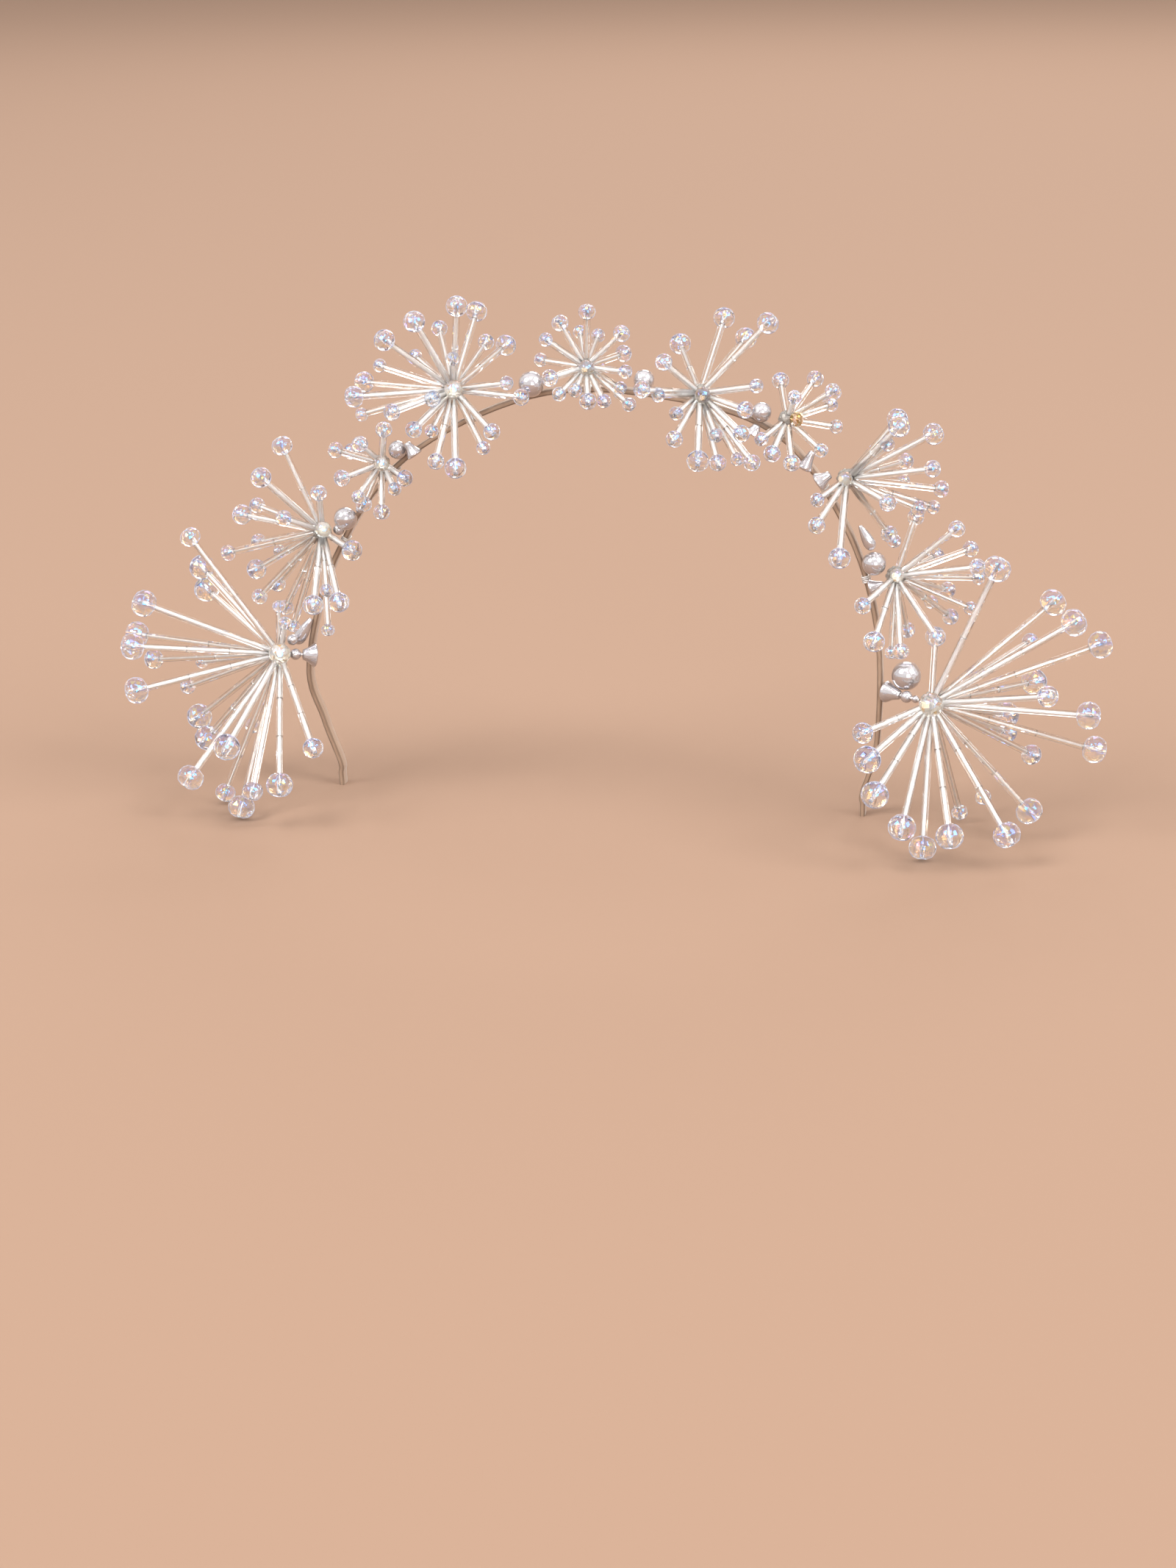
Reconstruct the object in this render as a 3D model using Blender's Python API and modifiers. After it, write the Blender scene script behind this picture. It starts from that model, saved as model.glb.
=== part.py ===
# Tiara: a slim headband that carries ten starbursts of glass tubes tipped with
# faceted crystals, with pearls seated on the band between them.
#
# The tiara stands on the two tips of its band and on the lowest crystals of the
# two end bursts. +X is across it, -Y is its front and +Z is up.

import bpy
import bmesh
from math import radians
from mathutils import Matrix, Vector

# Driving dimensions, in millimetres
MM = 0.001
SEAT_GAP = 0.3

BAND_WIDE = 4.0
BAND_THICK = 1.6
BAND_ROUNDING = 0.3
BAND_TIP_Y = 12.0
BAND_LEAN = -0.144
BAND_STEPS = 3

HUB_ROUNDNESS = 2
TUBE_START = 0.6
TUBE_HUB_RADIUS = 0.55
TUBE_TIP_RADIUS = 0.9
TUBE_SIDES = 5
WIRE_RADIUS = 0.6
WIRE_SIDES = 6

CRYSTAL_SIDES = 8
SMALL_CRYSTAL_SIDES = 6
CRYSTAL_TABLE = 0.55
CRYSTAL_HEIGHT = 0.8
BIG = 7.9
MIDDLE = 6.1
SMALL = 4.8
TINY = 4.0

STONE_TABLE = 0.5
STONE_SHOULDER = 0.78

PEARL_SIDES = 12
BEAD_SIDES = 10
LARGE_PEARL = 4.5

SHARP_ANGLE = radians(40)
UPWARD = Vector((0, 0, 1))

# Where the rays were charted from: a point in front of the tiara, above it and
# to one side. Each ray is read across, up and toward that point from its hub.
VIEW_POINT = Vector((149.0, -710.0, 258.5))

# The band's middle line, seen from the front
BAND_LINE = [
    # across, up
    (-81, 0),
    (-81, 4),
    (-81, 8),
    (-85, 22),
    (-88, 40),
    (-77, 74),
    (-53.5, 105.5),
    (-15, 125.3),
    (20, 126.6),
    (53.5, 117),
    (73, 91),
    (82.5, 60),
    (83, 25),
    (79, 8),
    (79, 4),
    (79, 0),
]

# Hubs of the ten bursts, from the left end to the right end. The middle stone
# sits on the hub, turned to the view point and shifted a little to one side.
HUBS = [
    # name, across, depth, up, hub radius, stone, stone across, stone up
    ("left_end", -93.6, -5.5, 45.7, 2.8, 6.6, 0.0, 0.0),
    ("left_low", -79.6, -3.0, 83.0, 2.8, 4.8, 0.4, 0.4),
    ("left_middle", -59.9, -6.0, 104.4, 2.4, 4.6, 0.0, -0.2),
    ("left_high", -37.2, -9.0, 126.8, 2.8, 5.4, 0.0, 0.0),
    ("top", 1.1, -10.0, 134.4, 2.4, 4.6, 0.2, -0.4),
    ("right_high", 33.2, -10.0, 127.9, 2.6, 4.6, 0.8, -0.6),
    ("right_middle", 57.2, -8.0, 121.1, 2.4, 4.2, 2.6, 0.0),
    ("right_low", 73.8, -6.0, 104.6, 2.8, 4.0, -0.4, 0.0),
    ("right_side", 87.9, -3.0, 76.7, 2.8, 4.0, 0.4, 0.2),
    ("right_end", 99.1, -4.0, 40.25, 3.4, 7.0, 0.0, -0.4),
]

# Rays of each burst: millimetres from its hub to the middle of its crystal,
# as seen from the view point, and the size of the crystal
RAYS = {
    "left_end": [
        # across, up, toward, crystal
        (-24.5, 35.5, 8, MIDDLE),
        (-39.0, 16.5, 14, BIG),
        (-41.5, 7.5, -14, BIG),
        (-43.0, 4.0, 10, BIG),
        (-37.0, 0.0, -26, MIDDLE),
        (-42.5, -9.0, 10, BIG),
        (-27.5, -8.5, -30, SMALL),
        (-24.5, -17.5, -30, BIG),
        (-22.5, -24.0, -26, BIG),
        (-28.0, -35.5, 6, BIG),
        (-17.0, -27.0, 28, BIG),
        (-18.0, -40.5, -10, MIDDLE),
        (-13.5, -45.0, 4, BIG),
        (-10.0, -40.5, 17, MIDDLE),
        (-2.0, -39.0, 20, BIG),
        (8.5, -28.5, 26, MIDDLE),
        (-9.0, -21.0, -34, SMALL),
        (-23.0, -1.5, -30, TINY),
        (-21.5, 26.5, -26, BIG),
        (-20.5, 20.0, -31, BIG),
        (2.0, 9.0, 7, TINY),
        (0.5, 14.0, 6, TINY),
    ],
    "left_low": [
        (-10.5, 25.0, 8, MIDDLE),
        (-17.0, 16.0, 16, MIDDLE),
        (-23.0, 5.5, -14, MIDDLE),
        (-18.5, 8.0, -20, SMALL),
        (-11.0, 4.0, 13, SMALL),
        (-18.5, -2.5, -20, SMALL),
        (-27.5, -5.5, -6, SMALL),
        (-12.5, -5.5, -16, TINY),
        (-19.5, -10.5, -16, MIDDLE),
        (-13.5, -15.0, -18, SMALL),
        (-11.5, -22.0, -12, SMALL),
        (-3.5, -21.5, 17, MIDDLE),
        (0.5, -17.5, 14, TINY),
        (4.0, -21.0, 18, MIDDLE),
        (8.5, -6.0, 12, MIDDLE),
        (-0.5, 11.0, 12, SMALL),
        (0.5, -29.0, 6, TINY),
        (-19.0, -18.5, -10, SMALL),
        (-9.5, -27.5, -8, TINY),
    ],
    "left_middle": [
        (-11.5, -4.0, 8, SMALL),
        (-6.0, 5.5, 8, SMALL),
        (-8.5, 3.5, -10, SMALL),
        (-13.0, 4.0, -5, SMALL),
        (1.0, 9.5, 9, SMALL),
        (-0.5, -14.0, 6, SMALL),
        (6.5, -4.5, 8, SMALL),
        (3.5, -7.5, 9, TINY),
        (-7.0, -9.5, 8, TINY),
        (-5.5, -11.5, 2, SMALL),
    ],
    "left_high": [
        (-10.5, 19.0, 19, MIDDLE),
        (-19.0, 14.0, 16, MIDDLE),
        (-28.0, -1.5, 6, MIDDLE),
        (1.5, 23.0, 16, MIDDLE),
        (7.0, 21.5, -14, MIDDLE),
        (15.0, 12.0, -18, MIDDLE),
        (-3.5, 17.0, -20, SMALL),
        (9.5, 13.0, -20, SMALL),
        (-10.5, 9.5, -15, TINY),
        (-20.5, 7.0, -12, TINY),
        (-25.0, 2.5, -12, MIDDLE),
        (-17.5, -6.0, 14, SMALL),
        (-26.0, -6.5, -6, TINY),
        (-11.5, -11.0, 12, SMALL),
        (-6.0, -2.5, 7, SMALL),
        (-6.5, -11.5, 6, TINY),
        (-5.5, -20.0, 16, SMALL),
        (0.0, -22.0, 18, MIDDLE),
        (10.5, -12.0, 17, SMALL),
        (8.0, -16.5, 14, TINY),
        (15.0, 1.5, 10, TINY),
        (19.0, -2.5, 12, SMALL),
        (0.0, 8.5, 9, TINY),
    ],
    "top": [
        (0.5, 15.0, 4, SMALL),
        (-7.0, 12.0, 6, SMALL),
        (-11.0, 7.5, 8, TINY),
        (-12.5, 2.0, -8, TINY),
        (-10.0, -3.0, 10, SMALL),
        (10.0, 9.0, 8, SMALL),
        (10.5, 3.5, -8, SMALL),
        (11.0, -1.5, 8, TINY),
        (9.5, -6.0, 4, TINY),
        (12.0, -10.5, 6, TINY),
        (5.0, -9.5, 9, TINY),
        (0.5, -9.5, 10, SMALL),
        (-7.5, -7.5, 8, TINY),
        (-3.0, -6.5, 7, TINY),
        (3.5, 8.5, -11, TINY),
        (-1.5, 9.5, -11, TINY),
    ],
    "right_high": [
        (6.5, 20.5, -16, MIDDLE),
        (18.5, 19.0, 12, MIDDLE),
        (12.5, 15.0, -14, MIDDLE),
        (-5.5, 13.5, -20, MIDDLE),
        (-10.0, 8.5, 14, SMALL),
        (15.5, 2.0, 13, TINY),
        (12.5, -4.5, 11, SMALL),
        (11.5, -11.0, 14, SMALL),
        (14.5, -19.0, 14, SMALL),
        (-0.5, -18.5, 19, MIDDLE),
        (5.0, -19.0, 14, SMALL),
        (-6.5, -5.5, 8, TINY),
        (-7.0, -12.5, 14, SMALL),
        (4.5, -11.5, 10, TINY),
        (10.5, -18.0, 8, TINY),
        (-11.5, -0.5, 12, TINY),
        (-16.0, 1.0, 16, SMALL),
    ],
    "right_middle": [
        (-2.0, 10.5, -8, SMALL),
        (7.5, 11.0, -6, SMALL),
        (12.5, 7.5, 4, SMALL),
        (12.0, 4.0, -8, TINY),
        (13.5, -2.0, -6, TINY),
        (2.0, 6.0, 6, TINY),
        (1.5, -12.0, 9, SMALL),
        (-4.0, -9.5, 10, SMALL),
        (9.5, -8.5, 6, TINY),
        (-7.0, -5.5, 8, TINY),
    ],
    "right_low": [
        (13.5, 16.5, -18, MIDDLE),
        (14.0, 14.5, 18, MIDDLE),
        (23.5, 12.5, 11, MIDDLE),
        (23.5, 3.0, 12, SMALL),
        (26.0, -2.5, -8, SMALL),
        (24.0, -7.5, -12, TINY),
        (20.0, -8.0, -8, SMALL),
        (11.5, -6.5, 12, SMALL),
        (15.5, -0.5, -16, TINY),
        (16.0, 5.0, -18, SMALL),
        (11.0, 9.5, 12, TINY),
        (12.0, -15.0, -10, SMALL),
        (-1.5, -22.0, 18, MIDDLE),
        (-8.0, -13.0, 16, SMALL),
        (-8.0, -6.0, 10, TINY),
        (13.5, -17.0, -16, TINY),
    ],
    "right_side": [
        (16.5, 13.5, 12, SMALL),
        (20.5, 8.0, -12, SMALL),
        (22.5, 3.0, 12, SMALL),
        (23.0, 0.0, 2, TINY),
        (21.0, -8.5, -10, TINY),
        (15.5, -11.0, -16, SMALL),
        (14.5, -3.5, -18, SMALL),
        (10.0, -7.0, -16, TINY),
        (12.0, -17.0, 14, SMALL),
        (3.5, -15.0, -14, SMALL),
        (2.0, -21.0, 12, SMALL),
        (-0.5, -21.5, 4, TINY),
        (-9.0, -8.5, 14, SMALL),
        (-5.5, -18.5, 14, MIDDLE),
        (11.0, 6.0, -16, SMALL),
        (5.0, 16.5, -16, SMALL),
    ],
    "right_end": [
        (17.0, 38.5, 16, BIG),
        (33.0, 29.5, -4, BIG),
        (39.0, 24.0, 10, BIG),
        (46.5, 18.0, -4, BIG),
        (44.0, -2.0, 10, BIG),
        (46.0, -11.5, -4, BIG),
        (32.5, 3.0, 24, MIDDLE),
        (28.5, 7.0, -30, BIG),
        (27.0, 18.5, -28, SMALL),
        (28.5, -13.5, -28, MIDDLE),
        (21.0, -2.5, -36, BIG),
        (21.5, -7.5, -30, MIDDLE),
        (28.5, -29.5, -8, BIG),
        (22.5, -36.5, 14, BIG),
        (6.5, -37.5, 20, BIG),
        (-1.0, -41.0, 8, BIG),
        (-7.0, -35.5, 24, BIG),
        (-15.0, -26.5, 25, BIG),
        (-17.5, -16.5, 22, BIG),
        (-19.0, -9.0, 19, MIDDLE),
        (9.0, -30.5, -24, SMALL),
        (15.5, -26.0, -30, SMALL),
        (0.5, 19.0, -34, MIDDLE),
    ],
}


# Round pearls on the front outer edge of the band: how far along it from its
# left tip, and how far out from its middle line
ROUND_PEARLS = [
    # name, along, out, size
    ("left_low", 87.0, 2.7, 3.3),
    ("left_large", 92.2, 2.1, 6.8),
    ("left_small", 96.9, 0.3, 2.7),
    ("left_middle", 118.2, 3.3, 5.4),
    ("top_left", 162.4, 3.8, 7.2),
    ("top_right", 193.1, 4.0, 5.8),
    ("right_high", 225.8, 3.8, 5.6),
    ("right_side", 277.6, 4.0, 6.8),
]

# Turned pearls: the middle of the wide end, and how far the pearl tilts from
# straight out toward the top of the band
TURNED_PEARLS = [
    # name, shape, along, out, forward, tilt, width, length
    ("trumpet_left_middle", "trumpet", 122.2, -1.0, 4.8, 0, 4.8, 4.6),
    ("trumpet_right_high", "trumpet", 226.4, -2.4, 4.8, 0, 4.8, 3.0),
    ("trumpet_right_first", "trumpet", 244.6, -0.8, 4.6, 30, 4.4, 5.6),
    ("trumpet_right_second", "trumpet", 249.8, 0.2, 5.2, 0, 5.4, 4.4),
    ("trumpet_right_side", "trumpet", 284.1, 0.8, 4.8, 0, 4.8, 4.4),
    ("drop_right_low", "drop", 274.2, 4.8, 3.0, 96, 3.4, 7.7),
    ("drop_left_end", "drop", 47.8, 4.2, 3.5, 111, 4.0, 9.4),
]

# Round pearls that the two end bursts hold clear of the band
HELD_PEARLS = [
    # name, across, depth, up, size
    ("left_end_high", -90.6, -2.0, 49.2, 3.4),
    ("right_end_large", 91.1, 4.1, 45.7, 8.5),
]

# Pearls strung from the band to the hubs of the two end bursts: the middle of
# the trumpet's wide end, the trumpet's size, and the pearls after it
STRINGS = {
    # hub: (start, trumpet width, trumpet length, pearls)
    "left_end": ((-84.2, 0.0, 44.2), 7.4, 4.2, (3.4,)),
    "right_end": ((85.2, 4.6, 40.6), 6.4, 5.6, (3.5, 2.2)),
}


def smooth_line(points, steps):
    """Catmull-Rom line through the points, with a few steps between two of them."""
    line = []
    last = len(points) - 1
    for i in range(last):
        before = points[max(i - 1, 0)]
        start = points[i]
        end = points[i + 1]
        after = points[min(i + 2, last)]
        for step in range(steps):
            t = step / steps
            line.append(0.5 * (
                2 * start
                + (end - before) * t
                + (2 * before - 5 * start + 4 * end - after) * t ** 2
                + (3 * start - before - 3 * end + after) * t ** 3))
    line.append(points[last])
    return line


def band_line():
    """Middle line of the band, leaning forward toward its top."""
    corners = [Vector((x, BAND_TIP_Y + BAND_LEAN * z, z)) for x, z in BAND_LINE]
    return smooth_line(corners, BAND_STEPS)


def view_axes(hub):
    """Across, up and toward, as seen at a hub from the view point."""
    toward = (VIEW_POINT - hub).normalized()
    across = Vector((0, 0, 1)).cross(toward).normalized()
    up = toward.cross(across)
    return across, up, toward


def ray_end(hub, across, up, toward):
    """Middle of a ray's crystal; what lies nearer the view point looks larger."""
    right, high, near = view_axes(hub)
    shrink = 1 - toward / (VIEW_POINT - hub).length
    return hub + (right * across + high * up) * shrink + near * toward


def aim(direction):
    """Rotation that turns +Z to a direction."""
    return UPWARD.rotation_difference(direction).to_matrix().to_4x4()


def band_place(along, out, forward):
    """Point beside the band, and the outward direction there."""
    line = band_line()
    for start, end in zip(line, line[1:]):
        run = end - start
        if along < run.length:
            break
        along -= run.length
    outward = Vector((-run.z, 0, run.x)).normalized()
    spot = start + run.normalized() * along
    return spot + outward * out - Vector((0, forward, 0)), outward


def nearest_on_band(point):
    """Point of the band's surface that lies nearest to a point outside it."""
    line = band_line()
    best = None
    for start, end in zip(line, line[1:]):
        run = end - start
        share = min(max((point - start).dot(run) / run.length_squared, 0), 1)
        spot = start + run * share
        outward = Vector((-run.z, 0, run.x)).normalized()
        out = (point - spot).dot(outward)
        spot += outward * min(max(out, -BAND_THICK / 2), BAND_THICK / 2)
        spot.y += min(max(point.y - spot.y, -BAND_WIDE / 2), BAND_WIDE / 2)
        if best is None or (point - spot).length < (point - best).length:
            best = spot
    return best


def evaluated_mesh(shape):
    """Mesh of an object with its modifiers applied; the object is removed."""
    graph = bpy.context.evaluated_depsgraph_get()
    mesh = bpy.data.meshes.new_from_object(shape.evaluated_get(graph))
    bpy.data.objects.remove(shape)
    return mesh


def turned_mesh(profile, sides):
    """Closed turned shape; its profile runs from the top to the bottom."""
    outline = bpy.data.meshes.new("profile")
    corners = [(radius, 0, height) for radius, height in profile]
    edges = [(i, i + 1) for i in range(len(corners) - 1)]
    outline.from_pydata(corners, edges, [])
    shape = bpy.data.objects.new("profile", outline)
    bpy.data.collections["joined shapes"].objects.link(shape)
    screw = shape.modifiers.new("turn", "SCREW")
    screw.steps = sides
    screw.render_steps = sides
    screw.use_merge_vertices = True
    screw.merge_threshold = 0.0001
    screw.use_smooth_shade = False
    mesh = evaluated_mesh(shape)
    bm = bmesh.new()
    bm.from_mesh(mesh)
    bmesh.ops.holes_fill(bm, edges=[edge for edge in bm.edges if edge.is_boundary])
    bm.to_mesh(mesh)
    bm.free()
    return mesh


def crystal_mesh(size):
    """Round cut crystal: a table at each end and two belts of facets."""
    radius = size / 2
    sides = CRYSTAL_SIDES if size == BIG else SMALL_CRYSTAL_SIDES
    profile = [
        (radius * CRYSTAL_TABLE, radius * CRYSTAL_HEIGHT),
        (radius, 0),
        (radius * CRYSTAL_TABLE, -radius * CRYSTAL_HEIGHT),
    ]
    return turned_mesh(profile, sides)


def stone_mesh(size):
    """Middle stone of a burst, cut with more facets than the crystals."""
    radius = size / 2
    profile = [
        (radius * STONE_TABLE, radius * CRYSTAL_HEIGHT),
        (radius * STONE_SHOULDER, radius * CRYSTAL_HEIGHT * 0.62),
        (radius, 0),
        (radius * CRYSTAL_TABLE, -radius * CRYSTAL_HEIGHT),
    ]
    return turned_mesh(profile, CRYSTAL_SIDES)


def trumpet_mesh(width, length):
    """Trumpet-shaped pearl that stands on its flared end."""
    radius = width / 2
    profile = [
        (radius * 0.3, length),
        (radius * 0.5, length * 0.55),
        (radius, length * 0.1),
        (radius * 0.92, 0),
    ]
    return turned_mesh(profile, BEAD_SIDES)


def drop_mesh(width, length):
    """Long drop-shaped pearl, narrow at its top."""
    radius = width / 2
    profile = [
        (radius * 0.25, length),
        (radius * 0.8, length * 0.55),
        (radius, length * 0.25),
        (radius * 0.5, 0),
    ]
    return turned_mesh(profile, BEAD_SIDES)


def ball_mesh(size):
    """Round pearl."""
    sides = PEARL_SIDES if size > LARGE_PEARL else BEAD_SIDES
    mesh = bpy.data.meshes.new("ball")
    bm = bmesh.new()
    bmesh.ops.create_uvsphere(bm, u_segments=sides, v_segments=sides // 2, radius=size / 2)
    bm.to_mesh(mesh)
    bm.free()
    return mesh


def add_node(name, mesh, spot, direction, material):
    """One named piece of the tiara, its own +Z turned to a direction."""
    mesh.name = name
    mesh.transform(Matrix.Scale(MM, 4))
    mesh.materials.clear()
    mesh.materials.append(material)
    mesh.shade_smooth()
    mesh.set_sharp_from_angle(angle=SHARP_ANGLE)
    node = bpy.data.objects.new(name, mesh)
    node.location = spot * MM
    node.rotation_mode = "QUATERNION"
    node.rotation_quaternion = UPWARD.rotation_difference(direction)
    node.parent = bpy.data.objects["tiara_root"]
    bpy.data.collections["tiara"].objects.link(node)


def build_band(material):
    """Flat strip bent over the head and cut level at its two tips."""
    line = band_line()
    half = Vector((0, BAND_WIDE / 2, 0))
    corners = [spot + half * side for spot in line for side in (-1, 1)]
    faces = [(2 * i, 2 * i + 1, 2 * i + 3, 2 * i + 2) for i in range(len(line) - 1)]
    ribbon = bpy.data.meshes.new("ribbon")
    ribbon.from_pydata(corners, [], faces)
    strip = bpy.data.objects.new("ribbon", ribbon)
    bpy.data.collections["joined shapes"].objects.link(strip)
    solid = strip.modifiers.new("thickness", "SOLIDIFY")
    solid.thickness = BAND_THICK
    solid.offset = 0
    solid.use_even_offset = True
    rounding = strip.modifiers.new("rounding", "BEVEL")
    rounding.width = BAND_ROUNDING
    rounding.segments = 1
    rounding.limit_method = "ANGLE"
    add_node("band", evaluated_mesh(strip), Vector(), UPWARD, material)


def add_tube(bm, start, end, start_radius, end_radius, sides):
    """Closed tube between two points."""
    axis = end - start
    place = Matrix.Translation((start + end) / 2) @ aim(axis)
    bmesh.ops.create_cone(
        bm, cap_ends=True, segments=sides, radius1=start_radius,
        radius2=end_radius, depth=axis.length, matrix=place)


def build_burst(name, hub, hub_radius, foot, material):
    """Ball hub, its wire, and every ray with its crystal, joined into one body."""
    bm = bmesh.new()
    add_tube(bm, Vector(), foot - hub, WIRE_RADIUS, WIRE_RADIUS, WIRE_SIDES)
    for across, up, toward, size in RAYS[name]:
        tip = ray_end(hub, across, up, toward) - hub
        start = tip.normalized() * hub_radius * TUBE_START
        add_tube(bm, start, tip, TUBE_HUB_RADIUS, TUBE_TIP_RADIUS, TUBE_SIDES)
        crystal = crystal_mesh(size)
        crystal.transform(Matrix.Translation(tip) @ aim(tip))
        bm.from_mesh(crystal)
    rays = bpy.data.meshes.new("rays")
    bm.to_mesh(rays)
    bm.free()

    bm = bmesh.new()
    bmesh.ops.create_icosphere(bm, subdivisions=HUB_ROUNDNESS, radius=hub_radius)
    ball = bpy.data.meshes.new("hub")
    bm.to_mesh(ball)
    bm.free()

    spokes = bpy.data.objects.new("rays", rays)
    spokes.hide_render = True
    spokes.display_type = "WIRE"
    burst = bpy.data.objects.new("hub", ball)
    for shape in (spokes, burst):
        bpy.data.collections["joined shapes"].objects.link(shape)
    union = burst.modifiers.new("union", "BOOLEAN")
    union.operation = "UNION"
    union.solver = "EXACT"
    union.use_self = True
    union.object = spokes
    add_node("burst_" + name, evaluated_mesh(burst), hub, UPWARD, material)
    bpy.data.objects.remove(spokes)


def build_stone(name, hub, hub_radius, size, across, up, material):
    """Cut stone in the middle of a burst, its table turned to the view point."""
    reach = hub_radius + SEAT_GAP + size / 2 * CRYSTAL_HEIGHT
    right, high, near = view_axes(hub)
    toward = (reach ** 2 - across ** 2 - up ** 2) ** 0.5
    offset = right * across + high * up + near * toward
    add_node("stone_" + name, stone_mesh(size), hub + offset, offset, material)


def build_string(hub, start, width, length, pearls, name, material):
    """Trumpet and round pearls on one wire; returns where the wire goes on."""
    spot = Vector(start)
    toward_hub = (hub - spot).normalized()
    trumpet = trumpet_mesh(width, length)
    add_node("string_trumpet_" + name, trumpet, spot, toward_hub, material)
    spot += toward_hub * (length + SEAT_GAP)
    for number, size in enumerate(pearls, 1):
        spot += toward_hub * size / 2
        node = "string_pearl_%s_%d" % (name, number)
        add_node(node, ball_mesh(size), spot, toward_hub, material)
        spot += toward_hub * (size / 2 + SEAT_GAP)
    return spot


def build_pearls(material):
    """Pearls along the band, and those that the end bursts hold."""
    edge = BAND_WIDE / 2
    for name, along, out, size in ROUND_PEARLS:
        reach = size / 2 + SEAT_GAP
        beyond = min(max(out - BAND_THICK / 2, 0), reach)
        forward = edge + (reach ** 2 - beyond ** 2) ** 0.5
        spot, outward = band_place(along, out, forward)
        add_node("pearl_" + name, ball_mesh(size), spot, outward, material)
    for name, x, y, z, size in HELD_PEARLS:
        add_node("pearl_" + name, ball_mesh(size), Vector((x, y, z)), UPWARD, material)
    shapes = {"trumpet": trumpet_mesh, "drop": drop_mesh}
    for name, shape, along, out, forward, tilt, width, length in TURNED_PEARLS:
        spot, outward = band_place(along, out, forward)
        side = 1 if spot.x < 0 else -1
        turn = Matrix.Rotation(radians(tilt) * side, 3, "Y")
        add_node(name, shapes[shape](width, length), spot, turn @ outward, material)


def centre_on_floor(root):
    """Moves the tiara so that the bottom middle of its box is the origin."""
    bpy.context.view_layer.update()
    corners = [
        node.matrix_world @ corner.co
        for node in root.children for corner in node.data.vertices]
    low = Vector([min(corner[i] for corner in corners) for i in range(3)])
    high = Vector([max(corner[i] for corner in corners) for i in range(3)])
    middle = (low + high) / 2
    root.location = -Vector((middle.x, middle.y, low.z))


def make_material(name, colour, roughness, metallic):
    material = bpy.data.materials.new(name)
    material.use_nodes = True
    shader = material.node_tree.nodes["Principled BSDF"]
    shader.inputs["Base Color"].default_value = (*colour, 1)
    shader.inputs["Roughness"].default_value = roughness
    shader.inputs["Metallic"].default_value = metallic
    return material


def build_tiara():
    for thing in list(bpy.data.objects):
        bpy.data.objects.remove(thing)
    for name in ("tiara", "joined shapes"):
        group = bpy.data.collections.new(name)
        bpy.context.scene.collection.children.link(group)
    root = bpy.data.objects.new("tiara_root", None)
    bpy.data.collections["tiara"].objects.link(root)

    champagne = make_material("champagne band", (0.52, 0.38, 0.26), 0.35, 0.6)
    glass = make_material("clear glass", (0.86, 0.86, 0.88), 0.08, 0.0)
    coated = make_material("coated crystal", (0.8, 0.78, 0.86), 0.05, 0.2)
    pearl = make_material("grey pearl", (0.62, 0.6, 0.58), 0.22, 0.1)

    build_band(champagne)
    build_pearls(pearl)
    for name, x, y, z, hub_radius, stone, stone_across, stone_up in HUBS:
        hub = Vector((x, y, z))
        seat = nearest_on_band(hub)
        foot = seat + (hub - seat).normalized() * SEAT_GAP
        if name in STRINGS:
            foot = build_string(hub, *STRINGS[name], name, pearl)
        build_burst(name, hub, hub_radius, foot, glass)
        build_stone(name, hub, hub_radius, stone, stone_across, stone_up, coated)
    centre_on_floor(root)


build_tiara()
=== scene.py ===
# %% [markdown]
# # A tiara of glass bursts
#
# The real tiara is a slim band covered in champagne satin. Ten bursts of thin glass
# tubes stand on it, each tube tipped with a cut crystal, and grey glass pearls sit
# between them. The solids come packed and stay where they are: this lesson dresses
# them with glass, wire, lacquer and cloth, piece by piece.

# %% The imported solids
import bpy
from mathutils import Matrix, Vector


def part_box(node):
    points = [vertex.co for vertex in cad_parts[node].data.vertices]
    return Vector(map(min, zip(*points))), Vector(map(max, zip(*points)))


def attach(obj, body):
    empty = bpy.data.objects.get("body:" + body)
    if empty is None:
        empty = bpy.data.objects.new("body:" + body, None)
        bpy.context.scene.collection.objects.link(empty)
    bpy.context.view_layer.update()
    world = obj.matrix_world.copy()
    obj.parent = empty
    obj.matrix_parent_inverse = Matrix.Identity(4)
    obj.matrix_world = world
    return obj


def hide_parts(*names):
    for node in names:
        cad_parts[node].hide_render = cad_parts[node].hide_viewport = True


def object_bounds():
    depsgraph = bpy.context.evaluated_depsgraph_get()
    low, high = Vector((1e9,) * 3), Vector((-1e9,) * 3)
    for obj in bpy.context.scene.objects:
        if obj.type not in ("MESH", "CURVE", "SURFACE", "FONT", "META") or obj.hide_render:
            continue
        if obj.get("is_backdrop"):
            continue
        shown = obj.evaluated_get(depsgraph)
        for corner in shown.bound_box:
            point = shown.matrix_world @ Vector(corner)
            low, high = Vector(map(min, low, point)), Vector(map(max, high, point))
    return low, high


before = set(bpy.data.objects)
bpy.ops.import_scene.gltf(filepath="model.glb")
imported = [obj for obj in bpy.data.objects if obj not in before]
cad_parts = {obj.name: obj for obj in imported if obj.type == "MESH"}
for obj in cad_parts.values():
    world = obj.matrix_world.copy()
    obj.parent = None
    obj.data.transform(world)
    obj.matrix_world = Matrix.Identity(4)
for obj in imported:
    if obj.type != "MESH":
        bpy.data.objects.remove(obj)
cad_low, cad_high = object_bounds()
print("solids:", len(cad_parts), "box in mm:", [round(1000 * side) for side in cad_high - cad_low])

# %% [markdown]
# ## Units and colours
#
# Lengths are written in millimetres, as a jeweller measures, and turned to metres when a piece is finished.
# Colours are hex values, which a screen shows with a curve; the shaders need them linear, so one function
# undoes the curve.

# %% Units and colours
import random
import bmesh
import bpy
from math import cos, inf, pi, radians, sin, sqrt, tau
from mathutils import Euler, Matrix, Vector

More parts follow.
